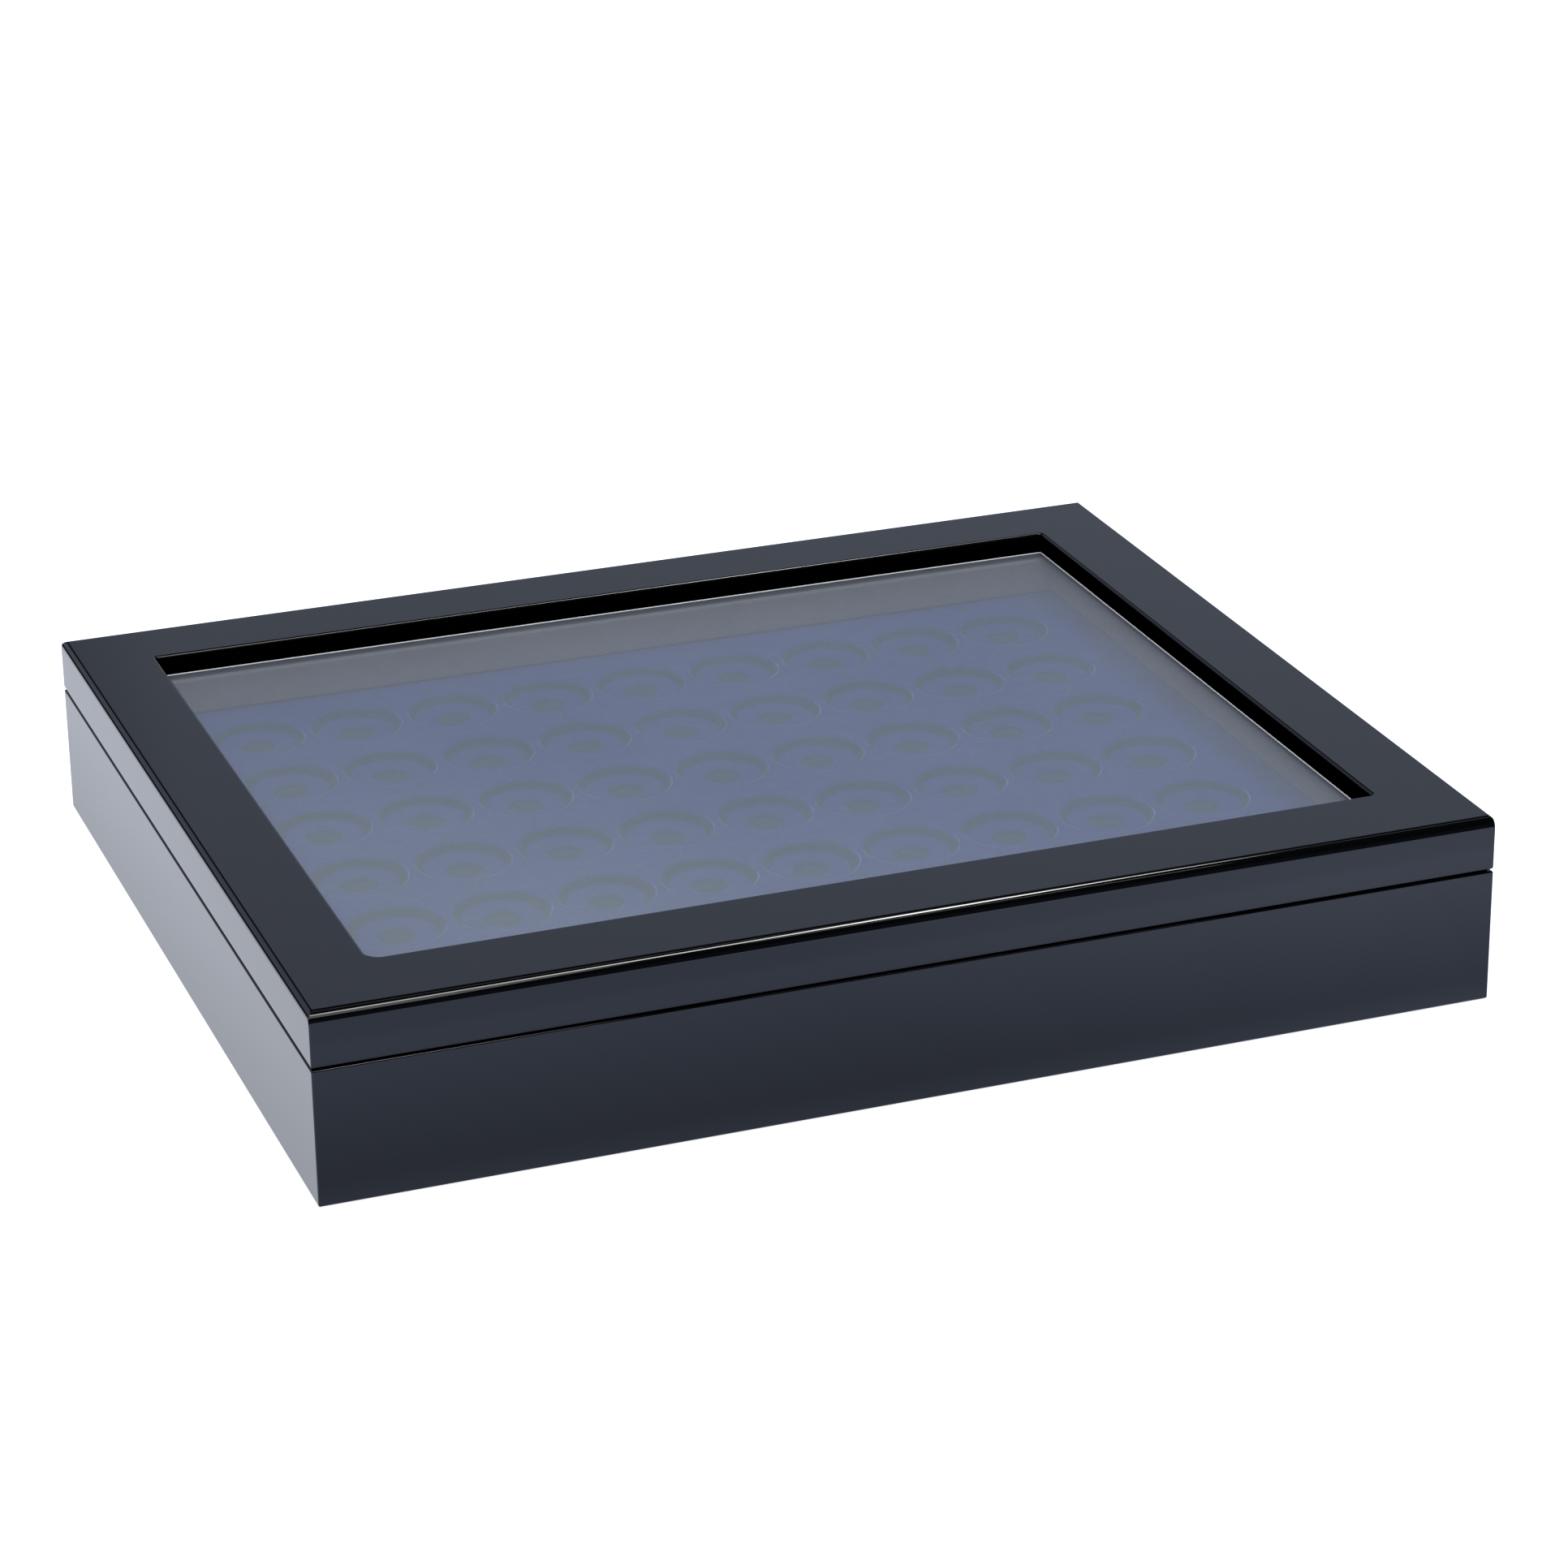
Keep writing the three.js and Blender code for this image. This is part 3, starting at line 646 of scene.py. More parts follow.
def grained(name, tint, grain, roughness, relief, shades=None, stretch=None, clouds=None, more=None):
    """
    A finish in one colour with a grain: the grain as (scale, detail, roughness) of its noise, the
    surface roughness that it spreads over, its relief in millimetres, and how far it shades the colour.
    The grain may be stretched, and may lie over broader clouds with their own shades and relief.
    """
    tree, place = new_material(name)
    drawn = place
    if stretch:
        drawn = add_node(tree, "ShaderNodeMapping", {"Vector": place, "Scale": stretch}).outputs[0]
    value = noise(tree, drawn, *grain)
    body = finish_colour(tint)
    normal = None
    if isinstance(roughness, tuple):
        roughness = ranged(tree, value, *roughness)
    if clouds:
        cloud_grain, cloud_shades, cloud_relief = clouds
        cloud = noise(tree, place, *cloud_grain)
        body = shaded(tree, body, cloud, *cloud_shades)
        if cloud_relief:
            normal = bumped(tree, cloud, cloud_relief * MM)
    if shades:
        body = shaded(tree, body, value, *shades)
    normal = bumped(tree, value, relief * MM, normal=normal)
    inputs = {"Base Color": body, "Roughness": roughness, "Normal": normal}
    show(tree, shader(tree, "BsdfPrincipled", {**inputs, **(more or {})}))


GRAINED_FINISHES = {
    # Matt black inside of the window's edge
    "reveal_paint": {
        "tint": "reveal", "grain": (1300.0, 3.0), "shades": (0.85, 1.15), "roughness": (0.55, 0.7),
        "relief": 0.02, "more": {"Specular IOR Level": 0.0},
    },
    # Pale bead where the pane meets the window's edge, its colour a painted highlight along that edge
    "clear_bead": {
        "tint": "bead", "grain": (700.0,), "shades": (0.92, 1.0), "roughness": 0.25, "relief": 0.05,
    },
    # Pressed felt with loose fibres
    "black_felt": {
        "tint": "felt", "grain": (1500.0, 3.0, 0.7), "shades": (0.7, 1.5), "roughness": 1.0,
        "relief": 0.15, "clouds": ((190.0, 3.0), (0.8, 1.25), 0.2),
        "more": {"Specular IOR Level": 0.1, "Sheen Weight": 0.3},
    },
    # Raw fibreboard: fine pale and dark fibres over an even brown
    "fibreboard": {
        "tint": "fibreboard", "grain": (900.0, 4.0, 0.7), "shades": (0.75, 1.2), "roughness": 0.85,
        "relief": 0.1, "stretch": (1.0, 1.0, 2.5), "clouds": ((60.0, 3.0), (0.9, 1.1), 0),
        "more": {"Specular IOR Level": 0.3},
    },
    # Dark card with a dry paper grain
    "backing_card": {
        "tint": "card", "grain": (1200.0, 3.0, 0.7), "shades": (0.8, 1.25), "roughness": 0.8,
        "relief": 0.04, "more": {"Specular IOR Level": 0.3},
    },
    # Satin nickel, brushed along the hinge
    "hinge_nickel": {
        "tint": "nickel", "grain": (3500.0,), "roughness": (0.18, 0.34), "relief": 0.01,
        "stretch": (0.06, 1.0, 1.0), "clouds": ((300.0, 3.0), (0.9, 1.05), 0), "more": {"Metallic": 1.0},
    },
    # Bright plating with faint tumbling marks
    "magnet_plating": {
        "tint": "magnet", "grain": (1800.0, 3.0, 0.6), "shades": (0.95, 1.03), "roughness": (0.1, 0.2),
        "relief": 0.005, "more": {"Metallic": 1.0},
    },
    # Soft grey rubber of the closing pads
    "pad_rubber": {
        "tint": "pad", "grain": (1600.0,), "shades": (0.93, 1.05), "roughness": (0.4, 0.55),
        "relief": 0.02,
    },
}


def wrapped(tree, value, half_span):
    """A value wrapped into a span about zero."""
    return maths(tree, "WRAP", value, half_span, -half_span)


def painted_shade_mask(tree, place):
    """Painted shade: one on a pocket's wall and in its hollow, and zero on the tray's top and the pocket's
    floor.
    """
    sizes = settings("display_case_tray")
    height = axes_of(tree, place)["Z"]
    floor = TRAY_HIGH.z - sizes.pocket_depth
    soft = sizes.painted_shade_blend
    below_top = mapped(tree, height, TRAY_HIGH.z - soft, TRAY_HIGH.z - soft / 6, 1.0, 0.0)
    above_floor = mapped(tree, height, floor + soft / 8, floor + soft / 2, 0.0, 1.0)
    in_hollow = mapped(tree, height, floor - soft / 2, floor - soft / 5, 1.0, 0.0)
    return maths(tree, "MAXIMUM", product(tree, below_top, above_floor), in_hollow)


def rim_highlight_mask(tree, place):
    """Painted highlight: a pale broken line round the front of each pocket's rim, where the rim catches the
    light.
    """
    sizes = settings("display_case_tray")
    axes = axes_of(tree, place)
    offsets = []
    inside = 1.0
    spacing = (("X", sizes.column_pitch, sizes.columns), ("Y", sizes.row_pitch, sizes.rows))
    for axis, pitch, number in spacing:
        centred = maths(tree, "ADD", axes[axis], 0.0 if number % 2 else pitch / 2)
        offsets.append(wrapped(tree, centred, pitch / 2))
        within = maths(tree, "LESS_THAN", maths(tree, "ABSOLUTE", axes[axis]), pitch * number / 2)
        inside = product(tree, within, inside)
    squares = [maths(tree, "POWER", offset, 2.0) for offset in offsets]
    reach = maths(tree, "SQRT", maths(tree, "ADD", *squares))
    strays = maths(tree, "SUBTRACT", noise(tree, place, 160.0, 3.0), 0.5)
    strays = product(tree, strays, sizes.rim_wander)
    rim = sizes.pocket_diameter / 2 + sizes.rim_softness / 3
    off_rim = maths(tree, "ADD", maths(tree, "SUBTRACT", reach, rim), strays)
    width = sizes.rim_line_width
    line = mapped(tree, maths(tree, "ABSOLUTE", off_rim), width * 0.3, width, 1.0, 0.0)
    # The painted highlight lies only on the front half of each rim, whose slope faces the light
    front = mapped(tree, offsets[1], -sizes.pocket_diameter / 6, sizes.pocket_diameter / 6, 1.0, 0.0)
    broken = mapped(tree, noise(tree, place, 95.0, 2.0), 0.35, 0.65, 0.08, 0.5)
    return product(tree, line, front, broken, inside)


def slit_mask(tree, place):
    """One where a thin bowed line runs from a pocket's front rim to the next pocket's back rim."""
    sizes = settings("display_case_tray")
    axes = axes_of(tree, place)
    reach = (sizes.row_pitch - sizes.pocket_diameter) / 2
    along = wrapped(tree, axes["Y"], sizes.row_pitch / 2)
    across = wrapped(tree, axes["X"], sizes.column_pitch / 2)
    share = maths(tree, "POWER", maths(tree, "DIVIDE", along, reach), 2.0)
    bow = product(tree, maths(tree, "SUBTRACT", 1.0, share), sizes.slit_bow)
    off_line = maths(tree, "ABSOLUTE", maths(tree, "ADD", across, bow))
    line = mapped(tree, off_line, sizes.slit_width * 0.25, sizes.slit_width * 0.6, 1.0, 0.0)
    between = mapped(tree, maths(tree, "ABSOLUTE", along), reach * 0.95, reach * 1.05, 1.0, 0.0)
    last_row = sizes.row_pitch * (sizes.rows / 2 - 0.5)
    inside = maths(tree, "LESS_THAN", maths(tree, "ABSOLUTE", axes["Y"]), last_row)
    return product(tree, line, between, inside)


def blue_flock(name):
    """Blue flock: short pile, mottled by its lie, with painted shade that makes it duller and greener down
    in the pockets and a painted highlight on their front rims.
    """
    tree, place = new_material(name)
    pile = noise(tree, place, 2400.0, 2.0, 0.6)
    lie = noise(tree, place, 130.0, 4.0, 0.65)
    crease = noise(tree, place, 420.0, 3.0, 0.7)
    # Painted shade: darker, greener flock on the pockets' walls and in their hollows
    body = blended(tree, painted_shade_mask(tree, place), finish_colour("flock"), finish_colour("flock_painted_shade"))
    for value, low, high in ((lie, 0.9, 1.1), (pile, 0.85, 1.15), (crease, 0.88, 1.12)):
        body = shaded(tree, body, value, low, high)
    slit = slit_mask(tree, place)
    # The slit lines are paler by this share of the pale flock
    slit_paleness = 0.15
    # Painted highlight on the pockets' front rims, together with the paler slit lines
    lightened = maths(tree, "MAXIMUM", product(tree, slit, slit_paleness), rim_highlight_mask(tree, place))
    normal = None
    for height, relief in ((lie, 0.25), (crease, 0.12), (slit, -0.5), (pile, 0.08)):
        normal = bumped(tree, height, relief * MM, normal=normal)
    show(tree, shader(tree, "BsdfPrincipled", {
        "Base Color": blended(tree, lightened, body, finish_colour("flock_lightened")),
        "Roughness": 1.0,
        "Specular IOR Level": 0.1,
        "Sheen Weight": 0.1,
        "Sheen Roughness": 0.5,
        "Sheen Tint": finish_colour("flock_sheen"),
        "Normal": normal,
    }))


def grey_cloth(name):
    """The liners' close plain weave."""
    tree, place = new_material(name)
    threads = []
    for scale, direction in ((420.0, "DIAGONAL"), (560.0, "Z")):
        inputs = {"Vector": place, "Scale": scale, "Distortion": 0.6}
        thread = add_node(tree, "ShaderNodeTexWave", inputs, bands_direction=direction)
        threads.append(thread.outputs["Fac"])
    weave = product(tree, *threads)
    body = shaded(tree, finish_colour("liner"), noise(tree, place, 160.0, 4.0, 0.6), 0.93, 1.07)
    show(tree, shader(tree, "BsdfPrincipled", {
        "Base Color": shaded(tree, body, weave, 0.95, 1.06),
        "Roughness": 0.95,
        "Specular IOR Level": 0.15,
        "Sheen Weight": 0.1,
        "Normal": bumped(tree, weave, 0.06 * MM),
    }))


OWN_FINISHES = {
    "black_lacquer": black_lacquer,
    "window_glass": window_glass,
    "blue_flock": blue_flock,
    "grey_cloth": grey_cloth,
}


def finish_material(name):
    """The named finish, made the first time it is asked for."""
    full_name = f"{name}_finish"
    if full_name not in bpy.data.materials:
        if name in GRAINED_FINISHES:
            grained(full_name, **GRAINED_FINISHES[name])
        else:
            OWN_FINISHES[name](full_name)
    return bpy.data.materials[full_name]


# Lacquered shells


def top_edge_loops():
    """Level loops up the lid's rounded top edge, which is rounder along the front."""
    sizes = settings()
    front = sizes.front_edge_radius
    radii = [front, sizes.right_edge_radius, sizes.top_edge_radius, sizes.top_edge_radius]
    heights = [up for _, up in arc(0, LID_TOP - front, front, 180, 90, 2 * sizes.edge_steps)]
    heights += [LID_TOP - radius for radius in radii[1:3]]
    loops = []
    for z in sorted(heights):
        rises = [max(z - LID_TOP + radius, 0) for radius in radii]
        insets = [radius - math.sqrt(max(radius**2 - rise**2, 0)) for radius, rise in zip(radii, rises)]
        loops.append(inset_loop(insets, outer_radii(max(insets)), z, sizes.corner_steps))
    return loops


def hinge_mortises(shape, way):
    """Adds what the hinge leaves take out of the base, below the seam, or out of the lid, above it."""
    sizes = settings("display_case_fittings")
    gap = settings().joint_gap
    depth = sizes.leaf_face_gap / 2 + sizes.leaf_thickness + gap
    levels = sorted((HINGE_AXIS.z, HINGE_AXIS.z + way * depth))
    for end in ENDS:
        low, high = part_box(f"hinge_{end}_base_leaf")
        inner_y = HALF_DEPTH - sizes.leaf_width - gap
        block(shape, (low.x - gap, inner_y, levels[0]), (high.x + gap, HALF_DEPTH + CUT_OVER, levels[1]))


def round_seat(shape, node, face, way):
    """Adds the round seat that a magnet or pad takes out of a face, upwards or downwards."""
    gap = settings().joint_gap
    low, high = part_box(node)
    centre = (low + high) / 2
    far = (low.z if way < 0 else high.z) + way * gap
    near = face - way * CUT_OVER
    height = abs(near - far)
    radius = (high.x - low.x) / 2 + gap
    profile = [(0, 0), (radius, 0), (radius, height), (0, height)]
    turned(shape, profile, Matrix.Translation((centre.x, centre.y, min(near, far))))


def make_base_shell():
    """The base's four walls as one seamless lacquered shell."""
    sizes = settings()
    walls = [LONG_WALL, SIDE_WALL, LONG_WALL, SIDE_WALL]
    bottom, seam, inner = sizes.bottom_edge_radius, sizes.base_seam_radius, sizes.inner_edge_radius
    steps = sizes.edge_steps
    rebate = HALF_LENGTH - PANEL_HIGH.x - sizes.joint_gap - SIDE_WALL
    rebate_top = PANEL_HIGH.z + sizes.joint_gap
    foot = FELT_LOW.z + sizes.foot_height
    lip = HALF_LENGTH - FELT_HIGH.x - sizes.joint_gap
    loops = outer_loops(arc(bottom, foot + bottom, bottom, 270, 180, steps))
    loops += outer_loops(arc(seam, BASE_TOP - seam, seam, 180, 90, steps))
    inside = arc(-inner, BASE_TOP - inner, inner, 90, 0, steps)
    inside += [(0, rebate_top), (rebate, rebate_top), (rebate, BASE_BOTTOM)]
    loops += inner_loops(inside, walls, [sizes.joint_gap] * 4)
    loops += outer_loops([(lip, BASE_BOTTOM), (lip, foot)])
    shell = lofted("base_shell", loops)
    seats = bmesh.new()
    hinge_mortises(seats, -1)
    for end in ENDS:
        round_seat(seats, f"base_magnet_{end}", BASE_TOP, -1)
        round_seat(seats, f"closing_pad_{end}", BASE_TOP, -1)
    cut(shell, seats)
    even_shading(shell)
    dress(shell, "base", "black_lacquer", [f"base_{side}_wall" for side in SIDES])


def window_insets():
    """How far the window's four edges stand in from the case's faces."""
    sizes = settings("display_case_lid")
    return [sizes.front_rail, sizes.side_rail, sizes.back_rail, sizes.side_rail]


def window_radii():
    """Plan radii of the window's corners, from the front right anticlockwise."""
    sizes = settings("display_case_lid")
    return [sizes.window_corner_radius] * 3 + [sizes.front_left_corner_radius]


def skirt_insets():
    """How far the inside of the lid's skirt stands in from the case's faces."""
    clearance = settings("display_case_lid").closing_clearance
    return [LONG_WALL + clearance, SIDE_WALL + clearance] * 2


def make_lid_frame():
    """The lid's four rails as one seamless lacquered frame with its window."""
    sizes = settings()
    seam, inner = sizes.lid_seam_radius, sizes.inner_edge_radius
    window = settings("display_case_lid").window_edge_radius
    steps = sizes.edge_steps
    lip_bottom = PANE_HIGH.z + sizes.joint_gap
    loops = outer_loops(arc(seam, LID_BOTTOM + seam, seam, 270, 180, steps))
    loops += top_edge_loops()
    reveal = arc(-window, LID_TOP - window, window, 90, 0, steps) + [(0, lip_bottom)]
    loops += inner_loops(reveal, window_insets(), window_radii())
    skirt = [(0, lip_bottom)] + arc(-inner, LID_BOTTOM + inner, inner, 0, -90, steps)
    loops += inner_loops(skirt, skirt_insets(), [sizes.joint_gap] * 4)
    lid_frame = lofted("lid_frame", loops)
    seats = bmesh.new()
    hinge_mortises(seats, 1)
    for end in ENDS:
        round_seat(seats, f"lid_magnet_{end}", LID_BOTTOM, 1)
    cut(lid_frame, seats)
    even_shading(lid_frame)
    dress(lid_frame, "lid", "black_lacquer", [f"lid_{side}_rail" for side in SIDES])
    lid_frame.data.materials.append(finish_material("reveal_paint"))
    front, side, back, _ = window_insets()
    for face in lid_frame.data.polygons:
        x, y, z = face.center
        across = abs(x) < HALF_LENGTH - side + HAIR
        along = front - HALF_DEPTH - HAIR < y < HALF_DEPTH - back + HAIR
        if across and along and z > lip_bottom:
            face.material_index = 1


# Window and liners


def make_window():
    """The glass pane, and the thin pale bead round it whose colour is a painted highlight on the pane's
    edge.
    """
    lid = settings("display_case_lid")
    edge = lid.pane_edge_radius
    steps = 3
    profile = arc(edge, PANE_LOW.z + edge, edge, 270, 180, steps)
    profile += arc(edge, PANE_HIGH.z - edge, edge, 180, 90, steps)
    loops = plate_loops(PANE_LOW, PANE_HIGH, profile, 2 * edge, steps)
    pane = lofted("window_pane", loops, ring=False)
    even_shading(pane)
    dress(pane, "lid", "window_glass", ["glass_pane"])

    # The bead's pale colour is a painted highlight along the window's edge
    bottom = PANE_HIGH.z + lid.bead_gap
    height = settings().joint_gap - 2 * lid.bead_gap
    profile = [(-lid.bead_under_lip, bottom), (-lid.bead_under_lip, bottom + height)]
    bulge_steps = 4
    for along, up in arc(0, 0, 1, 90, 0, bulge_steps):
        profile.append((along * lid.bead_width, bottom + up * height))
    bead = lofted("window_bead", inner_loops(profile, window_insets(), window_radii()))
    even_shading(bead)
    dress(bead, "lid", "window_glass", finish="clear_bead")


def make_liner():
    """The cloth-wrapped boards inside the lid, which hold the pane up against its lip."""
    gap = settings().joint_gap
    soft = settings("display_case_lid").liner_edge_radius
    outer = [inset + gap for inset in skirt_insets()]
    depth = highest("lid_front_liner").y + HALF_DEPTH - outer[0]
    low, high = LINER_BOTTOM + soft, LINER_TOP - soft
    steps = 4
    profile = arc(soft, low, soft, 270, 180, steps) + arc(soft, high, soft, 180, 90, steps)
    loops = inner_loops(profile, outer, [gap] * 4)
    profile = arc(-soft, high, soft, 90, 0, steps) + arc(-soft, low, soft, 0, -90, steps)
    loops += inner_loops(profile, [inset + depth for inset in outer], [gap] * 4)
    liner = lofted("lid_liner", loops)
    even_shading(liner)
    dress(liner, "lid", "grey_cloth", [f"lid_{side}_liner" for side in SIDES])


# Tray


def pocket_profile():
    """A pocket from the middle of its hollow up to its rim, as (radius, height)."""
    sizes = settings("display_case_tray")
    top = TRAY_HIGH.z
    floor = top - sizes.pocket_depth
    hollow = sizes.dimple_diameter / 2
    steps = 4
    return softened([
        (0, floor - sizes.dimple_depth, 0),
        (hollow - sizes.dimple_softness, floor - sizes.dimple_depth, sizes.dimple_softness / 2),
        (hollow, floor, sizes.dimple_softness / 2),
        (sizes.pocket_diameter / 2 - sizes.pocket_lean, floor, sizes.floor_softness),
        (sizes.pocket_diameter / 2, top, sizes.rim_softness),
        (sizes.column_pitch / 2 - sizes.cell_margin, top, 0),
    ], steps)


def make_pocket_cell():
    """One rectangle of the tray's top with a pocket pressed into it, centred on the origin."""
    sizes = settings("display_case_tray")
    half_x, half_y = sizes.column_pitch / 2, sizes.row_pitch / 2
    # Steps along the cell's front, and along its side
    across, along = 12, 14
    edge = [Vector((half_x, half_y * (2 * step / along - 1))) for step in range(along)]
    edge += [Vector((half_x * (1 - 2 * step / across), half_y)) for step in range(across)]
    edge += [-point for point in edge]
    shape = bmesh.new()
    rings = [[shape.verts.new((*point, TRAY_HIGH.z)) for point in edge]]
    middle = [(point + point.normalized() * half_x) / 2 for point in edge]
    rings.append([shape.verts.new((*point, TRAY_HIGH.z)) for point in middle])
    profile = list(reversed(pocket_profile()))
    for radius, z in profile[:-1]:
        rings.append([shape.verts.new((*(point.normalized() * radius), z)) for point in edge])
    for outside, inside in zip(rings, rings[1:]):
        for place, corner in enumerate(outside):
            after = (place + 1) % len(outside)
            shape.faces.new((corner, outside[after], inside[after], inside[place]))
    centre = shape.verts.new((0, 0, profile[-1][1]))
    for place, corner in enumerate(rings[-1]):
        after = (place + 1) % len(rings[-1])
        shape.faces.new((corner, rings[-1][after], centre))
    return piece_from("pocket_cell", shape)


def new_tree(name, inputs):
    """An empty Geometry Nodes tree with its named inputs, and its group input and output nodes."""
    tree = bpy.data.node_groups.new(name, "GeometryNodeTree")
    for input_name, kind in inputs.items():
        tree.interface.new_socket(input_name, in_out="INPUT", socket_type=f"NodeSocket{kind}")
    tree.interface.new_socket("Geometry", in_out="OUTPUT", socket_type="NodeSocketGeometry")
    return tree, tree.nodes.new("NodeGroupInput").outputs, tree.nodes.new("NodeGroupOutput").inputs


def close_with_material(tree, given, result, geometry):
    """Ends a tree: realised, smooth and with its material set."""
    real = add_node(tree, "GeometryNodeRealizeInstances", {0: geometry}).outputs[0]
    smooth = add_node(tree, "GeometryNodeSetShadeSmooth", {0: real}).outputs[0]
    inputs = {"Geometry": smooth, "Material": given["Material"]}
    finished = add_node(tree, "GeometryNodeSetMaterial", inputs)
    tree.links.new(finished.outputs[0], result["Geometry"])


def apply_tree(piece, tree, values):
    """Runs a tree on a piece, its inputs set by their sockets' identifiers, and keeps the plain mesh."""
    modifier = piece.modifiers.new(tree.name, "NODES")
    modifier.node_group = tree
    for item in tree.interface.items_tree:
        if item.item_type == "SOCKET" and item.in_out == "INPUT" and item.name in values:
            modifier[item.identifier] = values[item.name]
    settle(piece)


def edge_selection(tree, operation):
    """Which edges have one face, or which don't."""
    inputs = {2: add_node(tree, "GeometryNodeInputMeshEdgeNeighbors").outputs[0], 3: 1}
    return add_node(tree, "FunctionNodeCompare", inputs, data_type="INT", operation=operation).outputs[0]


def carried_out(tree, value, limit, target):
    """A coordinate moved out to plus or minus a target where it already lies past a limit."""
    past = maths(tree, "GREATER_THAN", maths(tree, "ABSOLUTE", value), limit)
    outside = product(tree, maths(tree, "SIGN", value), target)
    return maths(tree, "ADD", value, product(tree, maths(tree, "SUBTRACT", outside, value), past))


def grow_border(tree, geometry, limits, targets, z):
    """Extrudes a mesh's open edge outwards or downwards to a rectangle of half sizes at a height."""
    inputs = {"Mesh": geometry, "Selection": edge_selection(tree, "EQUAL"), "Offset Scale": 0.0}
    grown = add_node(tree, "GeometryNodeExtrudeMesh", inputs, mode="EDGES").outputs
    axes = axes_of(tree, add_node(tree, "GeometryNodeInputPosition").outputs[0])
    x = carried_out(tree, axes["X"], limits[0], targets[0])
    y = carried_out(tree, axes["Y"], limits[1], targets[1])
    place = add_node(tree, "ShaderNodeCombineXYZ", {0: x, 1: y, 2: z}).outputs[0]
    inputs = {"Geometry": grown["Mesh"], "Selection": grown["Top"], "Position": place}
    return add_node(tree, "GeometryNodeSetPosition", inputs).outputs[0]


def drift_field(tree, given):
    """How far, and which way, each point of the flocked top strays."""
    place = add_node(tree, "GeometryNodeInputPosition").outputs[0]
    inputs = {"Vector": place, "W": given["Seed"], "Scale": 75.0, "Detail": 2.0}
    field = add_node(tree, "ShaderNodeTexNoise", inputs, noise_dimensions="4D").outputs["Color"]
    inputs = {0: field, 1: (0.5, 0.5, 0.5)}
    centred = add_node(tree, "ShaderNodeVectorMath", inputs, operation="SUBTRACT").outputs[0]
    # The noise strays by about a quarter to each side of its middle
    noise_to_full = 4.0
    inputs = {0: centred, "Scale": product(tree, given["Unevenness"], noise_to_full)}
    return add_node(tree, "ShaderNodeVectorMath", inputs, operation="SCALE").outputs[0]


def pocket_tray_tree():
    """The tray's tree: pockets in columns and rows, a border, sides and a bottom, all a little uneven."""
    numbers = ["Column Pitch", "Row Pitch", "Half Length", "Half Depth", "Top", "Bottom"]
    numbers += ["Edge Radius", "Unevenness", "Seed"]
    kinds = {"Pocket Cell": "Object", "Columns": "Int", "Rows": "Int", **dict.fromkeys(numbers, "Float")}
    tree, given, result = new_tree("Pocket tray", {**kinds, "Material": "Material"})
    spans = []
    limits = []
    # A little under half, so that only the points at the pockets' outermost edge lie past it
    edge_share = 0.49
    for number, pitch in (("Columns", "Column Pitch"), ("Rows", "Row Pitch")):
        spans.append(product(tree, maths(tree, "SUBTRACT", given[number], 1.0), given[pitch]))
        limits.append(product(tree, given[number], given[pitch], edge_share))
    grid = add_node(tree, "GeometryNodeMeshGrid", {
        "Vertices X": given["Columns"], "Vertices Y": given["Rows"], "Size X": spans[0], "Size Y": spans[1],
    })
    cell = add_node(tree, "GeometryNodeObjectInfo", {0: given["Pocket Cell"]}).outputs["Geometry"]
    placed = add_node(tree, "GeometryNodeInstanceOnPoints", {"Points": grid.outputs[0], "Instance": cell})
    real = add_node(tree, "GeometryNodeRealizeInstances", {0: placed.outputs[0]})
    joined = add_node(tree, "GeometryNodeMergeByDistance", {"Geometry": real.outputs[0], "Distance": WELD})
    geometry = add_node(tree, "GeometryNodeSetPosition", {
        "Geometry": joined.outputs[0],
        "Selection": edge_selection(tree, "NOT_EQUAL"),
        "Offset": drift_field(tree, given),
    }).outputs[0]

    halves = [given["Half Length"], given["Half Depth"]]
    for turn in (0, 30, 60, 90):
        back = product(tree, given["Edge Radius"], 1 - math.sin(turn * DEGREE))
        down = product(tree, given["Edge Radius"], 1 - math.cos(turn * DEGREE))
        targets = [maths(tree, "SUBTRACT", half, back) for half in halves]
        geometry = grow_border(tree, geometry, limits, targets, maths(tree, "SUBTRACT", given["Top"], down))
    geometry = grow_border(tree, geometry, limits, halves, given["Bottom"])
    everywhere, middle = [-1.0, -1.0], [0.0, 0.0]
    geometry = grow_border(tree, geometry, everywhere, middle, given["Bottom"])
    closed = add_node(tree, "GeometryNodeMergeByDistance", {"Geometry": geometry, "Distance": WELD / 2})
    close_with_material(tree, given, result, closed.outputs[0])
    return tree


def make_tray():
    """The flocked tray, pressed in one sheet with its pockets."""
    sizes = settings("display_case_tray")
    cell = make_pocket_cell()
    tray = piece_from("flocked_tray", bmesh.new())
    apply_tree(tray, pocket_tray_tree(), {
        "Pocket Cell": cell,
        "Columns": sizes.columns,
        "Rows": sizes.rows,
        "Column Pitch": sizes.column_pitch,
        "Row Pitch": sizes.row_pitch,
        "Half Length": TRAY_HIGH.x,
        "Half Depth": TRAY_HIGH.y,
        "Top": TRAY_HIGH.z,
        "Bottom": TRAY_LOW.z,
        "Edge Radius": sizes.outer_edge_radius,
        "Unevenness": sizes.unevenness,
        "Seed": float(sizes.seed),
        "Material": finish_material("blue_flock"),
    })
    bpy.data.objects.remove(cell)
    dress(tray, "base", "blue_flock", ["tray_pocket_sheet", "tray_board"])


# Fittings


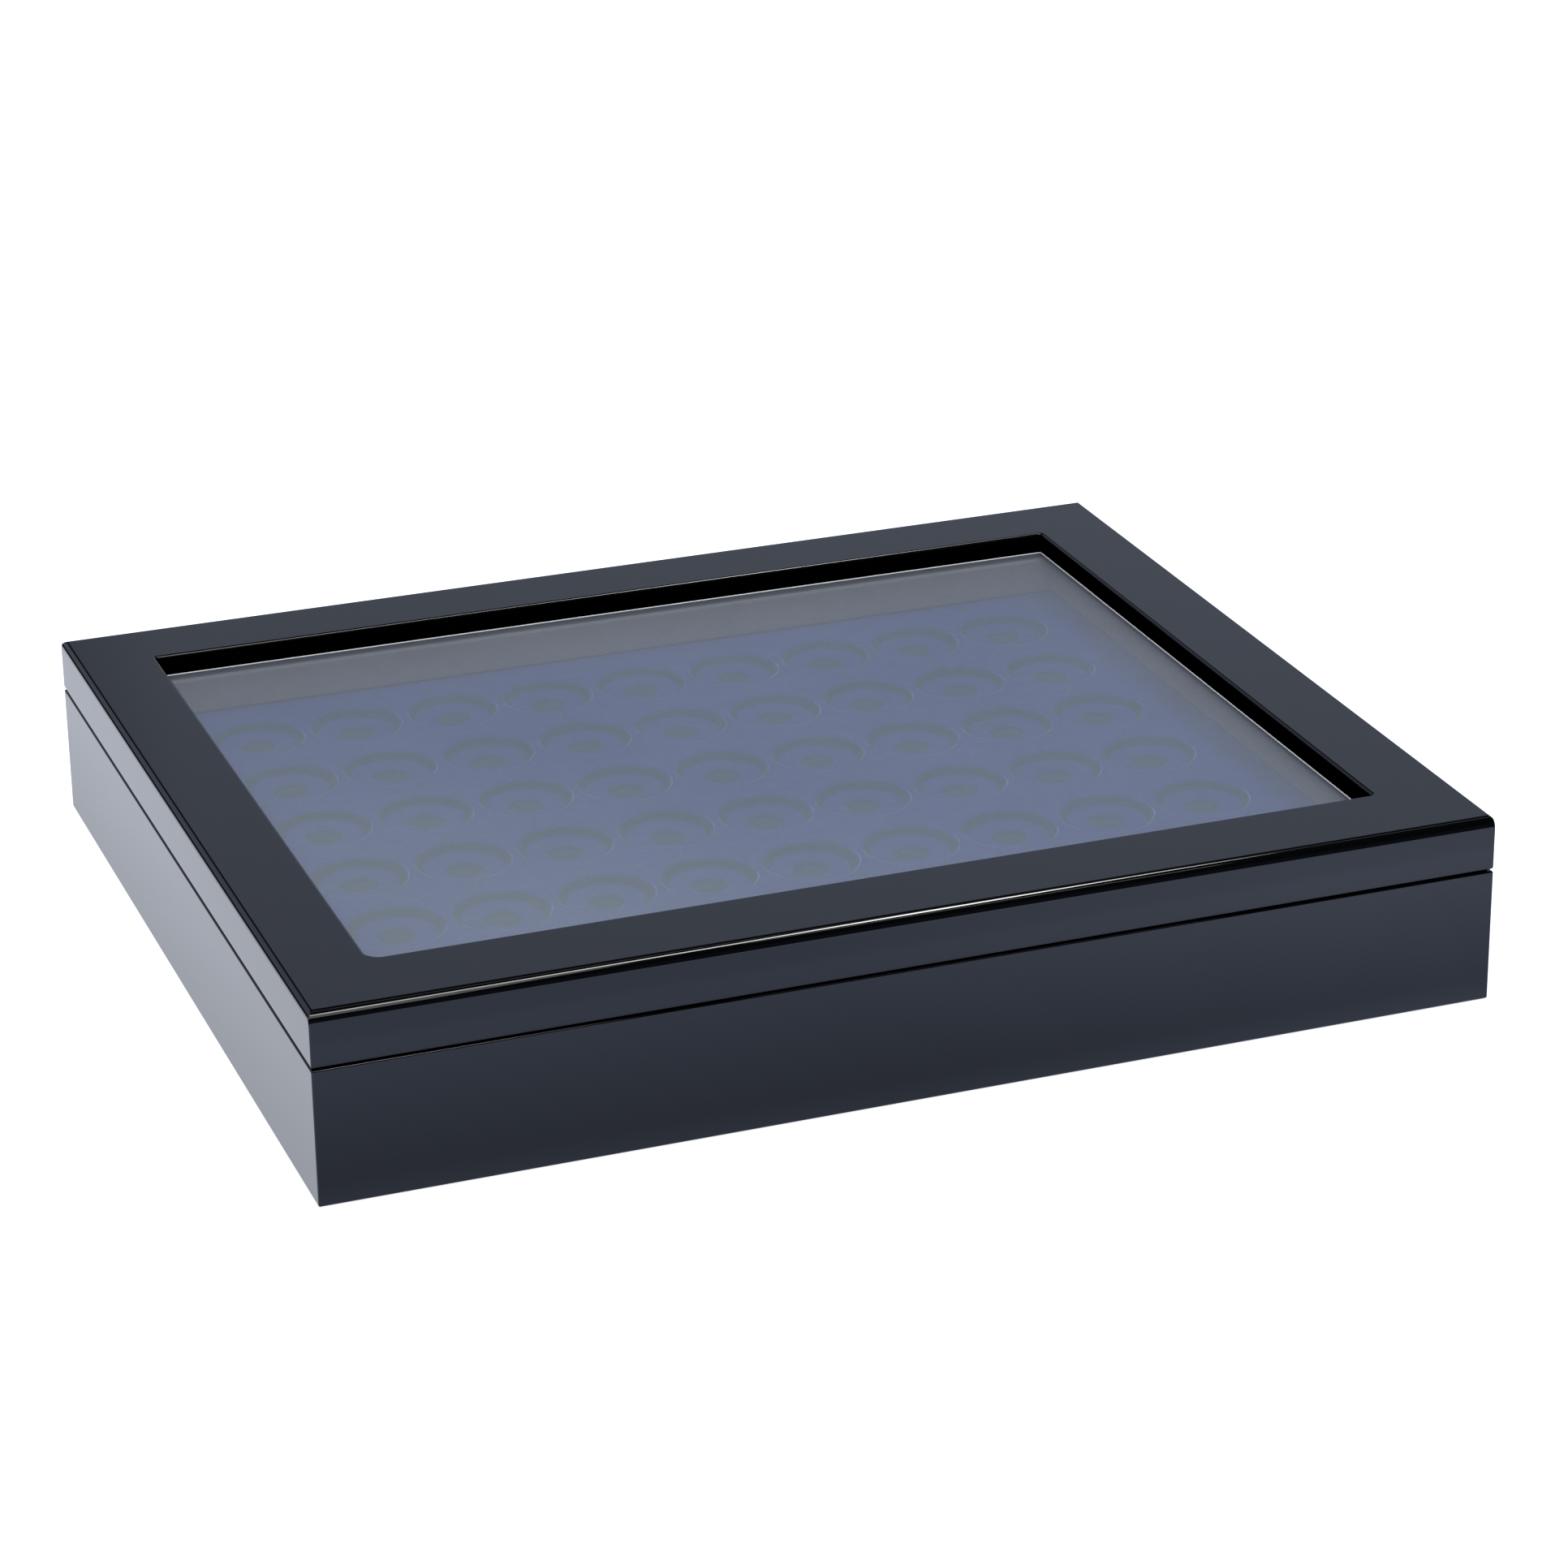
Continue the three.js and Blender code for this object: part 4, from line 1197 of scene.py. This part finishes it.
def repeat_tree():
    """A tree that sets a piece on every place of a host mesh, turned as asked."""
    kinds = {"Places": "Geometry", "Piece": "Object", "Turn": "Vector", "Material": "Material"}
    tree, given, result = new_tree("Repeat at places", kinds)
    piece = add_node(tree, "GeometryNodeObjectInfo", {0: given["Piece"]}).outputs["Geometry"]
    turn = add_node(tree, "FunctionNodeEulerToRotation", {0: given["Turn"]}).outputs[0]
    inputs = {"Points": given["Places"], "Instance": piece, "Rotation": turn}
    placed = add_node(tree, "GeometryNodeInstanceOnPoints", inputs)
    close_with_material(tree, given, result, placed.outputs[0])
    return tree


def set_out(name, piece, places, turn, body, slot, nodes):
    """A finished piece that stands for some nodes, with a shape set on each of its places."""
    shape = bmesh.new()
    for place in places:
        shape.verts.new(place)
    host = piece_from(name, shape)
    tree = bpy.data.node_groups.get("Repeat at places") or repeat_tree()
    apply_tree(host, tree, {"Piece": piece, "Turn": turn, "Material": finish_material(slot)})
    even_shading(host)
    dress(host, body, slot, nodes)


def place_of(node, way):
    """The middle of a node's highest face, or of its lowest one."""
    low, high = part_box(node)
    return Vector(((low.x + high.x) / 2, (low.y + high.y) / 2, high.z if way > 0 else low.z))


def make_leaf(way, spans):
    """One hinge leaf, centred on the left-to-right middle: a countersunk plate and its knuckles."""
    sizes = settings("display_case_fittings")
    half = sizes.leaf_length / 2
    knuckle = sizes.knuckle_diameter / 2
    plate_back = HINGE_AXIS.y - knuckle - sizes.knuckle_gap
    face = HINGE_AXIS.z + way * sizes.leaf_face_gap / 2
    low_z, high_z = sorted((face, face + way * sizes.leaf_thickness))
    chamfer = sizes.leaf_chamfer
    radii = [sizes.leaf_corner_radius, chamfer, chamfer, sizes.leaf_corner_radius]
    corner_steps = 4
    loops = []
    for inset, z in ((chamfer, low_z), (0, low_z + chamfer), (0, high_z - chamfer), (chamfer, high_z)):
        low = (-half + inset, HALF_DEPTH - sizes.leaf_width + inset)
        loops.append(rounded_rectangle(low, (half - inset, plate_back), radii, z, corner_steps))
    leaf = lofted("leaf", loops, ring=False)

    wide = sizes.screw_head_diameter / 2 + sizes.bore_clearance
    narrow = sizes.screw_shank_diameter / 2 + sizes.bore_clearance
    through = -2 * sizes.leaf_thickness
    profile = [(0, through), (narrow, through), (narrow, narrow - wide)]
    profile += [(wide, 0), (wide, CUT_OVER), (0, CUT_OVER)]
    holes = bmesh.new()
    middle = place_of("hinge_left_base_leaf", 1)
    for side in ENDS:
        screw = place_of(f"hinge_left_base_screw_{side}", 1)
        matrix = Matrix.Translation((screw.x - middle.x, screw.y, face))
        turned(holes, profile, matrix @ Matrix.Rotation(math.pi if way > 0 else 0, 4, "X"))
    cut(leaf, holes)

    shape = bmesh.new()
    shape.from_mesh(leaf.data)
    bore = sizes.pin_diameter / 2 + sizes.bore_clearance
    for start, end in spans:
        width = end - start
        ring = [(bore, 0), (knuckle - chamfer, 0), (knuckle, chamfer)]
        ring += [(knuckle, width - chamfer), (knuckle - chamfer, width), (bore, width)]
        turned(shape, ring, along_axis(start))
        block(shape, (start, plate_back - chamfer, low_z), (end, HINGE_AXIS.y - bore - chamfer, high_z))
    shape.to_mesh(leaf.data)
    shape.free()
    return leaf


def along_axis(start):
    """Where a solid turned about the hinge's axis begins, running to the right."""
    return Matrix.Translation((start, HINGE_AXIS.y, HINGE_AXIS.z)) @ Matrix.Rotation(math.pi / 2, 4, "Y")


def make_screw():
    """A countersunk wood screw, its head's face at zero, with a crossed driver recess."""
    sizes = settings("display_case_fittings")
    shank = sizes.screw_shank_diameter / 2
    head = sizes.screw_head_diameter / 2
    root = shank - sizes.thread_depth
    z = sizes.screw_point - sizes.screw_length
    profile = [(0, -sizes.screw_length), (root, z)]
    while z + sizes.thread_pitch < shank - head - sizes.thread_pitch:
        profile += [(shank, z + sizes.thread_pitch / 2), (root, z + sizes.thread_pitch)]
        z += sizes.thread_pitch
    edge = sizes.screw_head_edge
    profile += [(shank, shank - head), (head, -edge), (head - edge, 0), (0, 0)]
    screw = turned_piece("screw", profile)
    half_width, half_length = sizes.recess_width / 2, sizes.recess_length / 2
    for x, y in ((half_length, half_width), (half_width, half_length)):
        recess = bmesh.new()
        block(recess, (-x, -y, -sizes.recess_depth), (x, y, CUT_OVER))
        cut(screw, recess)
    return screw


def make_pins():
    """The two hinge pins, with domed heads."""
    sizes = settings("display_case_fittings")
    shaft = sizes.pin_diameter / 2
    head = sizes.pin_head_diameter / 2
    dome = sizes.pin_head_thickness
    shape = bmesh.new()
    for end in ENDS:
        low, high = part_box(f"hinge_{end}_pin")
        span = high.x - low.x
        near = [(0, 0)]
        for turn in (30 * DEGREE, 60 * DEGREE, 90 * DEGREE):
            near.append((head * math.sin(turn), dome * (1 - math.cos(turn))))
        far = [(radius, span - height) for radius, height in reversed(near)]
        turned(shape, near + [(shaft, dome), (shaft, span - dome)] + far, along_axis(low.x))
    pins = piece_from("hinge_pins", shape)
    even_shading(pins)
    dress(pins, "base", "hinge_nickel", [f"hinge_{end}_pin" for end in ENDS])


def make_hinges():
    """Leaves, screws and pins of the two butt hinges."""
    sizes = settings("display_case_fittings")
    half = sizes.leaf_length / 2
    middle = sizes.middle_knuckle_length / 2
    places = [Vector((place_of(f"hinge_{end}_base_leaf", 1).x, 0, 0)) for end in ENDS]
    outer_spans = [(-half, -middle - sizes.knuckle_gap), (middle + sizes.knuckle_gap, half)]
    for body, way, spans in (("base", -1, outer_spans), ("lid", 1, [(-middle, middle)])):
        leaf = make_leaf(way, spans)
        nodes = [f"hinge_{end}_{body}_leaf" for end in ENDS]
        set_out(f"{body}_hinge_leaves", leaf, places, UPRIGHT, body, "hinge_nickel", nodes)
        bpy.data.objects.remove(leaf)
    screw = make_screw()
    for body, way, turn in (("base", 1, UPRIGHT), ("lid", -1, UPSIDE_DOWN)):
        nodes = [f"hinge_{end}_{body}_screw_{side}" for end in ENDS for side in ENDS]
        heads = [place_of(node, way) for node in nodes]
        set_out(f"{body}_screws", screw, heads, turn, body, "hinge_nickel", nodes)
    bpy.data.objects.remove(screw)
    make_pins()


def make_closures():
    """Magnets in the front rim and the lid, and the pads that keep the seam open."""
    low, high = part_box("base_magnet_left")
    radius, height = (high.x - low.x) / 2, high.z - low.z
    chamfer = settings("display_case_fittings").magnet_chamfer
    profile = [(0, -height), (radius - chamfer, -height), (radius, chamfer - height)]
    profile += [(radius, -chamfer), (radius - chamfer, 0), (0, 0)]
    magnet = turned_piece("magnet", profile)
    for body, way, turn in (("base", 1, UPRIGHT), ("lid", -1, UPSIDE_DOWN)):
        nodes = [f"{body}_magnet_{end}" for end in ENDS]
        places = [place_of(node, way) for node in nodes]
        set_out(f"{body}_magnets", magnet, places, turn, body, "magnet_plating", nodes)
    bpy.data.objects.remove(magnet)

    low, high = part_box("closing_pad_left")
    radius, height = (high.x - low.x) / 2, high.z - low.z
    crown = height / 3
    profile = [(0, -height), (radius, -height), (radius, -crown)]
    for turn in (20 * DEGREE, 40 * DEGREE, 60 * DEGREE, 75 * DEGREE):
        profile.append((radius * math.cos(turn), crown * (math.sin(turn) - 1)))
    pad = turned_piece("pad", profile + [(0, 0)])
    nodes = [f"closing_pad_{end}" for end in ENDS]
    places = [place_of(node, 1) for node in nodes]
    set_out("closing_pads", pad, places, UPRIGHT, "base", "pad_rubber", nodes)
    bpy.data.objects.remove(pad)


def make_felt():
    """The felt sheet under the case, a little soft at its edge."""
    size = FELT_HIGH - FELT_LOW
    soft = size.z / 2
    edge_steps, corner_steps = 6, 5
    profile = arc(soft, FELT_LOW.z + soft, soft, 270, 90, edge_steps)
    loops = plate_loops(FELT_LOW, FELT_HIGH, profile, settings().felt_corner_radius, corner_steps)
    felt = lofted("felt_sheet", loops, ring=False)
    even_shading(felt)
    dress(felt, "base", "black_felt", ["underside_felt"])


def dress_hidden_boards():
    """Finishes for the boards that stay as the frame holds them."""
    boards = ["base_floor_panel"]
    boards += [f"corner_block_{side}_{end}" for side in ("front", "back") for end in ENDS]
    boards += [f"tray_ledge_{side}" for side in SIDES]
    finishes = {**dict.fromkeys(boards, "fibreboard"), "tray_backing": "backing_card"}
    for name, finish in finishes.items():
        for material_slot in frame["nodes"][name].material_slots:
            material_slot.material = finish_material(finish)


# Stage

# The picture's width that the camera's lens is given for, in millimetres
SENSOR_WIDTH = 36

# The key lamp: the line of its strips in plan, each strip's share of its level, and its width and height
KEY_LINE = ((0.12, -0.62), (0.31, -0.35), (0.5, -0.1), (0.65, 0.22), (0.8, 0.3))
KEY_SHARES = (0.4, 0.6, 1.0, 0.6)
KEY_WIDTH = 0.16
KEY_HEIGHT = 1.59

# The other lamps: place, size, and the setting that holds the level
LAMPS = {
    "front_strip": ((0.62, -0.55, 1.59), (0.34, 0.09), "strip_level"),
    "back_strip": ((0.5, 0.47, 1.6), (1.1, 0.16), "back_level"),
    "front_panel": ((-0.46, -1.07, 1.59), (1.65, 1.1), "front_level"),
    "left_panel": ((-0.65, 0.05, 1.6), (1.0, 1.2), "side_level"),
}


def make_floor():
    """A pale floor that keeps the shadow. The camera sees it lifted to white, or not at all from below."""
    stage = settings("display_case_stage")
    shape = bmesh.new()
    below = Matrix.Translation((0, 0, -stage.floor_drop))
    bmesh.ops.create_grid(shape, x_segments=1, y_segments=1, size=stage.floor_reach, matrix=below)
    floor = piece_from("floor", shape)
    tree, place = new_material("pale_floor")
    path = add_node(tree, "ShaderNodeLightPath").outputs
    base = shaded(tree, opaque(stage.floor_colour), noise(tree, place, 40.0, 2.0), 0.99, 1.01)
    lift = product(tree, path["Is Camera Ray"], stage.floor_lift)
    lift = shader(tree, "Emission", {"Color": WHITE, "Strength": lift})
    seen = shader(tree, "AddShader", {0: shader(tree, "BsdfDiffuse", {"Color": base}), 1: lift})

    # What the case's gloss shows of the floor, by the distance out from its front and left faces: painted
    # shadow of the case darkens it near the faces, and painted light brightens it right at the front foot
    axes = axes_of(tree, place)

    def beyond(axis, face, far, near, far_level, near_level):
        """A level that changes between two distances out from a face."""
        return mapped(tree, axes[axis], -face - far, -face - near, far_level, near_level)

    case_shadow_fade = beyond("Y", HALF_DEPTH, 0.105, 0.02, 1.08, 0.68)
    in_lid = beyond("Y", HALF_DEPTH, 0.115, 0.107, 0.91, 1.0)
    foot_light = beyond("Y", HALF_DEPTH, 0.015, 0.001, 1.0, 1.2)
    to_right = mapped(tree, axes["X"], 0.0, HALF_LENGTH, 0.97, 1.28)
    front = product(tree, case_shadow_fade, in_lid, to_right, foot_light)
    left_reach = beyond("X", HALF_LENGTH, 0.16, 0.12, 0.0, 1.0)
    # Painted shadow at the left foot
    left_foot_shadow = beyond("X", HALF_LENGTH, 0.02, 0.0, 1.0, 0.85)
    left = product(tree, left_reach, left_foot_shadow)
    is_left = maths(tree, "LESS_THAN", axes["X"], -HALF_LENGTH)
    glow = blended(tree, is_left, opaque(stage.front_glow), opaque(stage.left_glow))
    strength = add_node(tree, "ShaderNodeMix", {0: is_left, 2: front, 3: left}).outputs[0]
    glow = shader(tree, "Emission", {"Color": glow, "Strength": strength})
    lit = mixed(tree, path["Is Glossy Ray"], seen, glow)

    from_below = add_node(tree, "ShaderNodeNewGeometry").outputs["Backfacing"]
    # A ray that starts on the case's underside meets the floor at once, and passes through it
    touching_length = 10 * stage.floor_drop
    touching = maths(tree, "LESS_THAN", path["Ray Length"], touching_length)
    hidden = maths(tree, "MAXIMUM", from_below, touching)
    show(tree, mixed(tree, hidden, lit, shader(tree, "BsdfTransparent")))
    floor.data.materials.append(bpy.data.materials["pale_floor"])


def softbox(name, place, size, brightness, turn=0.0):
    """A rectangular lamp that shines straight down, turned about the upright axis."""
    lamp = bpy.data.lights.new(name, "AREA")
    lamp.shape = "RECTANGLE"
    lamp.size, lamp.size_y = size
    lamp.energy = brightness * math.pi * size[0] * size[1]
    holder = bpy.data.objects.new(name, lamp)
    holder.location = place
    holder.rotation_euler = (0, 0, turn)
    holder.visible_camera = False
    bpy.context.scene.collection.objects.link(holder)


def make_lamps():
    """A long key strip, brighter in its middle, and soft panels overhead in front and at the left."""
    stage = settings("display_case_stage")
    for start, end, share in zip(KEY_LINE, KEY_LINE[1:], KEY_SHARES):
        across, along = end[0] - start[0], end[1] - start[1]
        place = ((start[0] + end[0]) / 2, (start[1] + end[1]) / 2, KEY_HEIGHT)
        size = (math.hypot(across, along), KEY_WIDTH)
        softbox("key_strip", place, size, share * stage.key_level, math.atan2(along, across))
    for name, (place, size, setting) in LAMPS.items():
        softbox(name, place, size, getattr(stage, setting))


def make_world():
    """White for the camera, soft fill for the light, and a graded backdrop for what the gloss shows."""
    stage = settings("display_case_stage")
    world = bpy.data.worlds.new("studio")
    bpy.context.scene.world = world
    world.use_nodes = True
    tree = world.node_tree
    tree.nodes.clear()
    axes = axes_of(tree, add_node(tree, "ShaderNodeTexCoord").outputs["Generated"])
    low_band = mapped(tree, axes["Z"], 0.46, 0.58, 1.0, 0.04)
    behind = mapped(tree, axes["Y"], -0.3, 0.2, 0.12, 1.0)
    to_right = mapped(tree, axes["X"], 0.17, 0.4, 0.88, 1.0)
    left_edge = mapped(tree, axes["X"], 0.12, 0.2, 0.06, 1.0)
    far_left = mapped(tree, axes["X"], -0.1, -0.03, 1.0, 0.0)
    raised = mapped(tree, axes["Z"], 0.05, 0.14, 0.02, 1.0)
    sideways = maths(tree, "MAXIMUM", product(tree, to_right, left_edge), product(tree, far_left, raised))
    glow = product(tree, low_band, behind, sideways, stage.backdrop_level)
    backdrop = shader(tree, "Background", {"Color": opaque(stage.backdrop), "Strength": glow})
    fill = shader(tree, "Background", {"Color": WHITE, "Strength": stage.fill_level})
    white = shader(tree, "Background", {"Color": WHITE, "Strength": 1.0})
    path = add_node(tree, "ShaderNodeLightPath").outputs
    lit = mixed(tree, path["Is Glossy Ray"], fill, backdrop)
    seen = mixed(tree, path["Is Camera Ray"], lit, white)
    add_node(tree, "ShaderNodeOutputWorld", {"Surface": seen})


def make_camera():
    """The camera, as the photograph was taken."""
    stage = settings("display_case_stage")
    camera = bpy.data.objects.new("camera", bpy.data.cameras.new("camera"))
    camera.data.lens = stage.camera_lens
    camera.data.sensor_width = SENSOR_WIDTH
    turn = Matrix.Rotation(-stage.camera_azimuth, 3, "Z")
    turn = turn @ Matrix.Rotation(math.pi / 2 - stage.camera_drop, 3, "X")
    turn = turn @ Matrix.Rotation(stage.camera_roll, 3, "Z")
    camera.rotation_euler = turn.to_euler()
    camera.location = stage.camera_place
    bpy.context.scene.collection.objects.link(camera)
    bpy.context.scene.camera = camera


# Add-on


class DISPLAYCASE_OT_base(bpy.types.Operator):
    """Build the lacquered base shell"""

    bl_idname = "display_case.base"
    bl_label = "Base shell"

    def execute(self, context):
        make_base_shell()
        return {"FINISHED"}


class DISPLAYCASE_OT_lid(bpy.types.Operator):
    """Build the lacquered lid frame"""

    bl_idname = "display_case.lid"
    bl_label = "Lid frame"

    def execute(self, context):
        make_lid_frame()
        return {"FINISHED"}


class DISPLAYCASE_OT_window(bpy.types.Operator):
    """Build the glass pane and its bead"""

    bl_idname = "display_case.window"
    bl_label = "Window"

    def execute(self, context):
        make_window()
        return {"FINISHED"}


class DISPLAYCASE_OT_liner(bpy.types.Operator):
    """Build the cloth-wrapped liners"""

    bl_idname = "display_case.liner"
    bl_label = "Liners"

    def execute(self, context):
        make_liner()
        return {"FINISHED"}


class DISPLAYCASE_OT_tray(bpy.types.Operator):
    """Build the flocked tray and its pockets"""

    bl_idname = "display_case.tray"
    bl_label = "Pocket tray"

    def execute(self, context):
        make_tray()
        return {"FINISHED"}


class DISPLAYCASE_OT_hinges(bpy.types.Operator):
    """Build the hinges with their pins and screws"""

    bl_idname = "display_case.hinges"
    bl_label = "Hinges"

    def execute(self, context):
        make_hinges()
        return {"FINISHED"}


class DISPLAYCASE_OT_closures(bpy.types.Operator):
    """Build the magnets and closing pads"""

    bl_idname = "display_case.closures"
    bl_label = "Magnets and pads"

    def execute(self, context):
        make_closures()
        return {"FINISHED"}


class DISPLAYCASE_OT_felt(bpy.types.Operator):
    """Build the felt sheet under the case"""

    bl_idname = "display_case.felt"
    bl_label = "Underside felt"

    def execute(self, context):
        make_felt()
        return {"FINISHED"}


class DISPLAYCASE_OT_boards(bpy.types.Operator):
    """Finish the boards hidden inside the case"""

    bl_idname = "display_case.boards"
    bl_label = "Hidden boards"

    def execute(self, context):
        dress_hidden_boards()
        return {"FINISHED"}


class DISPLAYCASE_OT_stage(bpy.types.Operator):
    """Set up the floor, lamps, backdrop and camera"""

    bl_idname = "display_case.stage"
    bl_label = "Stage"

    def execute(self, context):
        make_floor()
        make_lamps()
        make_world()
        make_camera()
        context.scene.view_settings.view_transform = "Standard"
        return {"FINISHED"}


OPERATORS = (
    DISPLAYCASE_OT_stage,
    DISPLAYCASE_OT_base,
    DISPLAYCASE_OT_lid,
    DISPLAYCASE_OT_window,
    DISPLAYCASE_OT_liner,
    DISPLAYCASE_OT_tray,
    DISPLAYCASE_OT_hinges,
    DISPLAYCASE_OT_closures,
    DISPLAYCASE_OT_felt,
    DISPLAYCASE_OT_boards,
)


class DISPLAYCASE_PT_panel(bpy.types.Panel):
    """Lists the case's pieces and settings in the sidebar."""

    bl_idname = "DISPLAYCASE_PT_panel"
    bl_label = "Display Case"
    bl_space_type = "VIEW_3D"
    bl_region_type = "UI"
    bl_category = "Display Case"

    def draw(self, context):
        for operator in OPERATORS:
            self.layout.operator(operator.bl_idname)
        for name, group in PROPERTY_GROUPS.items():
            column = self.layout.column(align=True)
            for prop in group.__annotations__:
                column.prop(getattr(context.scene, name), prop)


CLASSES = (*PROPERTY_GROUPS.values(), *OPERATORS, DISPLAYCASE_PT_panel)


def register():
    """Registers the settings, operators and panel."""
    for item in CLASSES:
        bpy.utils.register_class(item)
    for name, group in PROPERTY_GROUPS.items():
        setattr(bpy.types.Scene, name, PointerProperty(type=group))


def unregister():
    """Removes them again."""
    for name in PROPERTY_GROUPS:
        delattr(bpy.types.Scene, name)
    for item in reversed(CLASSES):
        bpy.utils.unregister_class(item)


def main():
    """Builds everything."""
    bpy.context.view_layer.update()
    register()
    for operator in OPERATORS:
        group, name = operator.bl_idname.split(".")
        getattr(getattr(bpy.ops, group), name)()


if __name__ == "__main__":
    main()
